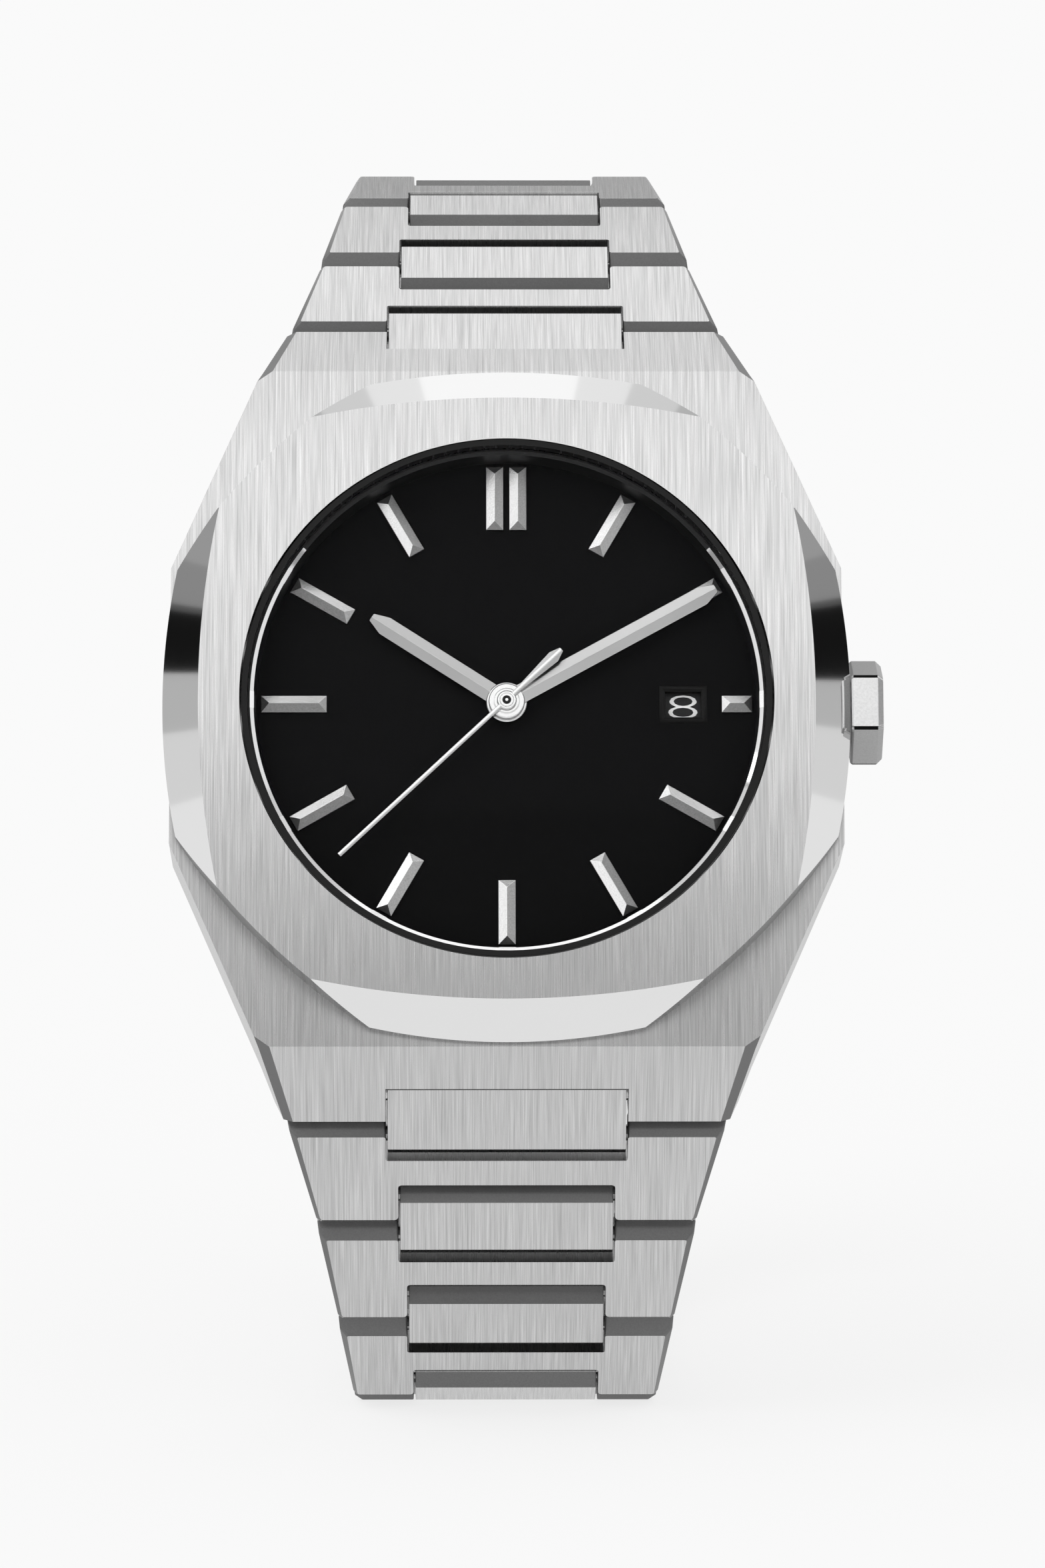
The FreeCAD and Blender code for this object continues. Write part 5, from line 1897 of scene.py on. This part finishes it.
    def bored_centre(self, name: str, station: int) -> bpy.types.Mesh:
        """A centre link with its two bores.

        Args:
            name: the link's name.
            station: how many H-shaped links stand before it.

        Returns:
            The link's mesh.
        """
        width, radius = self.centre_at(station), self.pin_radius + self.pin_play
        places = (-self.spacing / 2, self.spacing / 2)
        bores = [bar(radius, width + 2 * OVERCUT, y, 0) for y in places]
        return carved(raw_mesh(name, self.centre(width, station == 0)), bores)

    def pinned_link(self, name: str, station: int, far_pin: bool) -> bpy.types.Mesh:
        """An H-shaped link with its pins.

        Args:
            name: the link's name.
            station: how many H-shaped links stand before it.
            far_pin: whether it has the pin at its far end.

        Returns:
            The link's mesh.
        """
        reach = (self.pitch - self.spacing) / 2
        places = [(-reach, station), (reach, station + 1)][: 2 if far_pin else 1]
        rods = []
        for y, number in places:
            span = self.centre_at(number) + 2 * self.side_play + self.pin_reach
            rods.append(raw_mesh("rod", bar(self.pin_radius, span, y, 0)))
        return joined(raw_mesh(name, self.link(station + 1)), rods)


# ---------------------------------------------------------------- the clasp and what keeps its node


@dataclass
class Clasp:
    """The folding clasp's frame: the bow of its pins' line, found from its folds."""

    bow: float = 45.0
    chord: float = 36.0
    far_inset: float = 3.4
    far_offset: float = -0.35

    def point(self, place: float, offset: float) -> Array:
        """A point of the side view: so far along the bowed line, and so far outside it.

        At the angle t = place / R - asin(c / 2R) the point is ((R + o) sin t, (R + o) cos t - h), where h is
        the height of the chord above the bow's centre.

        Args:
            place: how far along the line.
            offset: how far outside it.

        Returns:
            The point along the chord and above it.
        """
        half = math.asin(self.chord / 2 / self.bow)
        turn = place / self.bow - half
        reach = self.bow + offset
        return np.array([reach * math.sin(turn), reach * math.cos(turn) - self.bow * math.cos(half)])

    def seat(self) -> Seat:
        """The clasp's frame, whose zero is the middle of the chord.

        Returns:
            The seat.
        """
        line = 2 * self.bow * math.asin(self.chord / 2 / self.bow)
        local = self.point(line - self.far_inset, self.far_offset) + np.array([self.chord / 2, 0])
        world = (pivot("clasp_blade_fold") - pivot("clasp_bend"))[1:]
        a = (local[0] * world[0] - local[1] * world[1]) / (local @ local)
        b = (local[1] * world[0] + local[0] * world[1]) / (local @ local)
        along = unit(np.array([0.0, a, b]))
        across = np.array([-1.0, 0.0, 0.0])
        axes = np.column_stack([across, along, np.cross(across, along)])
        return Seat(pivot("clasp_bend") + along * self.chord / 2, axes)

    def last_upper_pin(self) -> Array:
        """Returns the pin that the cover's tongue holds."""
        seat = self.seat()
        return seat.origin + seat.axes[:, 1] * self.chord / 2


class KeptNodes:
    """The nodes whose own shape is shown, each with its finish."""

    FINISHES: dict[str, Finish] = {
        "crystal_gasket": Finish.RUBBER,
        "crown_gasket": Finish.RUBBER,
        "dial": Finish.DIAL,
        "date_ring": Finish.RING,
        "movement_plate": Finish.PLATE,
        "winding_rotor": Finish.PLATE,
        "balance_wheel": Finish.GILT,
        "winding_stem": Finish.HAND,
        "crown_tube": Finish.LAPPED,
        "clasp_cover": Finish.DRAWN,
        "clasp_outer_blade": Finish.DRAWN,
        "clasp_inner_blade": Finish.DRAWN,
        "clasp_button_left": Finish.LAPPED,
        "clasp_button_right": Finish.LAPPED,
    }

    def dress(self) -> None:
        """Puts each kept node's finish in its material slots."""
        for name, finish in self.FINISHES.items():
            node = bpy.data.objects[name]
            for place in range(max(1, len(node.material_slots))):
                if not node.material_slots:
                    node.data.materials.append(PALETTE[finish])
                node.material_slots[place].material = PALETTE[finish]


# ---------------------------------------------------------------- the studio


def pale_rays(tree: bpy.types.NodeTree) -> bpy.types.NodeSocket:
    """A value that is 1 for a ray from the camera, from gloss or through glass, and otherwise 0.

    Args:
        tree: the node tree in which it is made.

    Returns:
        The value.
    """
    path = tree.nodes.new("ShaderNodeLightPath")
    found = path.outputs["Is Camera Ray"]
    for kind in ("Is Glossy Ray", "Is Transmission Ray"):
        either = tree.nodes.new("ShaderNodeMath")
        either.operation = "MAXIMUM"
        tree.links.new(found, either.inputs[0])
        tree.links.new(path.outputs[kind], either.inputs[1])
        found = either.outputs[0]
    return found


@dataclass(frozen=True)
class Card:
    """A card bowed over the watch from front to back, which only reflections see.

    It starts and ends at angles in degrees: 0 is in front of the dial, 90 overhead and 180 behind. Its tone
    is how bright it is, and it may be narrower and nearer than the usual one.
    """

    name: str
    start: float
    end: float
    tone: float
    half_width: float = 230.0
    nearer: float = 0.0


@dataclass(frozen=True)
class Flag:
    """A card upright beside the watch, which only reflections see, between two heights over the dial."""

    name: str
    low: float
    high: float
    tone: float


CARDS = (
    Card("low_card", 3, 20, 0.36),
    Card("step_card", 20, 31.5, 0.5),
    Card("front_box", 31.5, 46, 1.52),
    Card("middle_card", 46, 61, 0.28),
    Card("upper_card", 61, 78, 0.75),
    Card("overhead_box", 78, 119, 1.3),
    Card("rear_card", 119, 131, 0.55),
    Card("rear_box_0", 119, 131, 0.76, 48.0, 3.0),
    Card("rear_box_1", 119, 131, 0.98, 34.0, 6.0),
    Card("rear_box_2", 119, 131, 1.18, 20.0, 9.0),
    Card("last_box", 131, 141, 1.15),
    Card("last_card", 141, 156, 0.5),
)


@dataclass
class Studio:
    """The pale floor, the even light with its cards, and the camera."""

    centre: Array
    distance: float = 450.0
    elevation: float = 7.0
    azimuth: float = -0.45
    lens: float = 169.7
    aim: tuple[float, float] = (0.97, -4.84)
    roll: float = 0.04
    pale: float = 0.956
    fill: float = 0.9
    floor_tone: float = 0.9
    floor_glow: float = 0.8
    floor_half: float = 4.0
    sun_strength: float = 0.62
    sun_breadth: float = 38.0
    sun_side: tuple[float, float, float] = (-0.62, -0.38, 1.0)
    card_reach: float = 260.0
    card_steps: int = 13
    flag_reach: float = 240.0
    flag_foot: tuple[float, float] = (51.5, 55.0)
    flag_depth: tuple[float, float] = (-60.0, 140.0)

    def camera(self) -> None:
        """Places the camera at its elevation before the dial."""
        lift, aside = math.radians(self.elevation), math.radians(self.azimuth)
        back = Vector((math.sin(aside) * math.cos(lift), -math.cos(aside) * math.cos(lift), math.sin(lift)))
        side = Vector((math.cos(aside), math.sin(aside), 0))
        up = back.cross(side)
        centre = Vector(self.centre.tolist())
        place = centre + back * self.distance
        target = centre + side * self.aim[0] + up * self.aim[1]
        data = bpy.data.cameras.new("camera")
        data.lens = self.lens
        data.clip_start, data.clip_end = 0.01, 20.0
        eye = placed("camera", data)
        towards = (place - target).normalized()
        right = up.cross(towards).normalized()
        turn = Matrix((right, towards.cross(right), towards)).transposed().to_4x4()
        roll = Matrix.Rotation(math.radians(self.roll), 4, "Z")
        eye.matrix_world = Matrix.Translation(place * MM) @ turn @ roll
        bpy.context.scene.camera = eye

    def world(self) -> None:
        """A world that cameras, metal and glass see pale, and that lights the object more softly."""
        world = bpy.data.worlds.new("studio")
        world.use_nodes = True
        tree = world.node_tree
        level = tree.nodes.new("ShaderNodeMapRange")
        level.inputs["To Min"].default_value = self.fill
        level.inputs["To Max"].default_value = self.pale
        tree.links.new(pale_rays(tree), level.inputs["Value"])
        tree.links.new(level.outputs["Result"], tree.nodes["Background"].inputs["Strength"])
        tree.nodes["Background"].inputs["Color"].default_value = (1, 1, 1, 1)
        bpy.context.scene.world = world

    def floor(self) -> None:
        """Lays the floor under the bracelet."""
        size = self.floor_half
        mesh = bpy.data.meshes.new("floor")
        corners = [(-size, -size, 0), (size, -size, 0), (size, size, 0), (-size, size, 0)]
        mesh.from_pydata(corners, [], [(0, 1, 2, 3)])
        bench = NodeBench("floor_paper")
        paper = bench.add("ShaderNodeBsdfDiffuse")
        paper.inputs["Color"].default_value = (self.floor_tone,) * 3 + (1,)
        glow = bench.add("ShaderNodeEmission", Strength=self.pale)
        seen = bench.add("ShaderNodeMath", operation="MULTIPLY")
        seen.inputs[1].default_value = self.floor_glow
        bench.join(pale_rays(bench.tree), seen.inputs[0])
        mix = bench.add("ShaderNodeMixShader")
        bench.join(seen.outputs[0], mix.inputs["Fac"])
        bench.join(paper.outputs["BSDF"], mix.inputs[1])
        bench.join(glow.outputs["Emission"], mix.inputs[2])
        bench.join(mix.outputs["Shader"], bench.output.inputs["Surface"])
        mesh.materials.append(bench.material)
        placed("floor", mesh)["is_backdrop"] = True

    def sun(self) -> None:
        """A broad lamp from the upper left, in front."""
        data = bpy.data.lights.new("key", "SUN")
        data.energy = self.sun_strength
        data.angle = math.radians(self.sun_breadth)
        away = Vector(self.sun_side).normalized()
        placed("key", data).rotation_euler = away.to_track_quat("Z", "Y").to_euler()

    def card(self, card: Card) -> None:
        """Makes a bowed card.

        Its point at angle e and width x is (x, -r cos e, r sin e) from the dial's centre.

        Args:
            card: which card.
        """
        steps, reach = self.card_steps, self.card_reach - card.nearer
        angle = np.radians(np.linspace(card.start, card.end, steps))
        along, rise = -reach * np.cos(angle), reach * np.sin(angle)
        edges = (-card.half_width, card.half_width)
        rows = [np.column_stack([np.full(steps, x), along, rise]) for x in edges]
        self.reflector(card.name, np.stack(rows), card.tone)

    def flags(self, name: str, side: float, foot: float) -> None:
        """Makes the cards beside the watch: a black flag, with paler cards under and over it.

        Args:
            name: the side's name.
            side: 1 on the right and -1 on the left.
            foot: the height at which the black flag starts.
        """
        x, (near, far) = side * self.flag_reach, self.flag_depth
        stack = (
            Flag("low_apron", 18, 38, 0.8),
            Flag("apron", 38, foot, 0.55),
            Flag("flag", foot, 73, 0.008),
            Flag("shade", 73, 75, 0.1),
            Flag("low_card", 75, 88, 0.3),
            Flag("card", 88, 400, 0.38),
        )
        for flag in stack:
            rows = [[[x, near, height], [x, far, height]] for height in (flag.low, flag.high)]
            self.reflector(f"{name}_{flag.name}", np.array(rows), flag.tone)

    def reflector(self, name: str, grid: Array, tone: float) -> None:
        """Makes a card from its grid of points about the dial's centre, with its tone.

        Args:
            name: the card's name.
            grid: its points in millimetres, as rows and columns.
            tone: how bright it is.
        """
        rows, columns = grid.shape[:2]
        points = (grid.reshape(-1, 3) + self.centre) * MM
        mesh = bpy.data.meshes.new(name)
        quads = grid_quads(rows, columns, False, False)
        mesh.from_pydata(points.tolist(), [], [tuple(quad) for quad in quads.tolist()])
        bench = NodeBench(name)
        glow = bench.add("ShaderNodeEmission", Strength=tone)
        bench.join(glow.outputs["Emission"], bench.output.inputs["Surface"])
        mesh.materials.append(bench.material)
        card = placed(name, mesh)
        card.visible_camera = card.visible_diffuse = False
        card.visible_transmission = card.visible_shadow = False
        card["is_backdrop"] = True

    def build(self) -> None:
        """Sets up the whole studio."""
        self.camera()
        self.world()
        self.floor()
        self.sun()
        for card in CARDS:
            self.card(card)
        for name, side, foot in zip(("right", "left"), (1, -1), self.flag_foot):
            self.flags(name, side, foot)
        bpy.context.scene.view_settings.view_transform = "Standard"


def main() -> None:
    """Builds the watch's sub-parts in order, then the studio."""
    logging.basicConfig(level=logging.INFO, format="%(name)s %(message)s")
    maker = Maker()
    head = head_seat()
    clasp = Clasp()
    CaseMiddle(head).build(maker)
    Bezel(head).build(maker)
    Glazing(head).build(maker)
    DialFurniture(head).build(maker)
    HandSet(head).build(maker)
    Crown(head).build(maker)
    CaseBack(head).build(maker)
    bracelet = Bracelet()
    bracelet.build_side(maker, "upper", count=10, side=1, last=clasp.last_upper_pin())
    bracelet.build_side(maker, "lower", count=7, side=-1, last=pivot("clasp_bend"))
    KeptNodes().dress()
    Studio(head.origin).build()
    LOG.info("%d pieces made", maker.made)


if __name__ == "__main__":
    main()
    bounds = [[list(map(float, corner)) for corner in box_] for box_ in (LOADED_BOUNDS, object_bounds())]
    {"frame": bounds[0], "visual": bounds[1]}
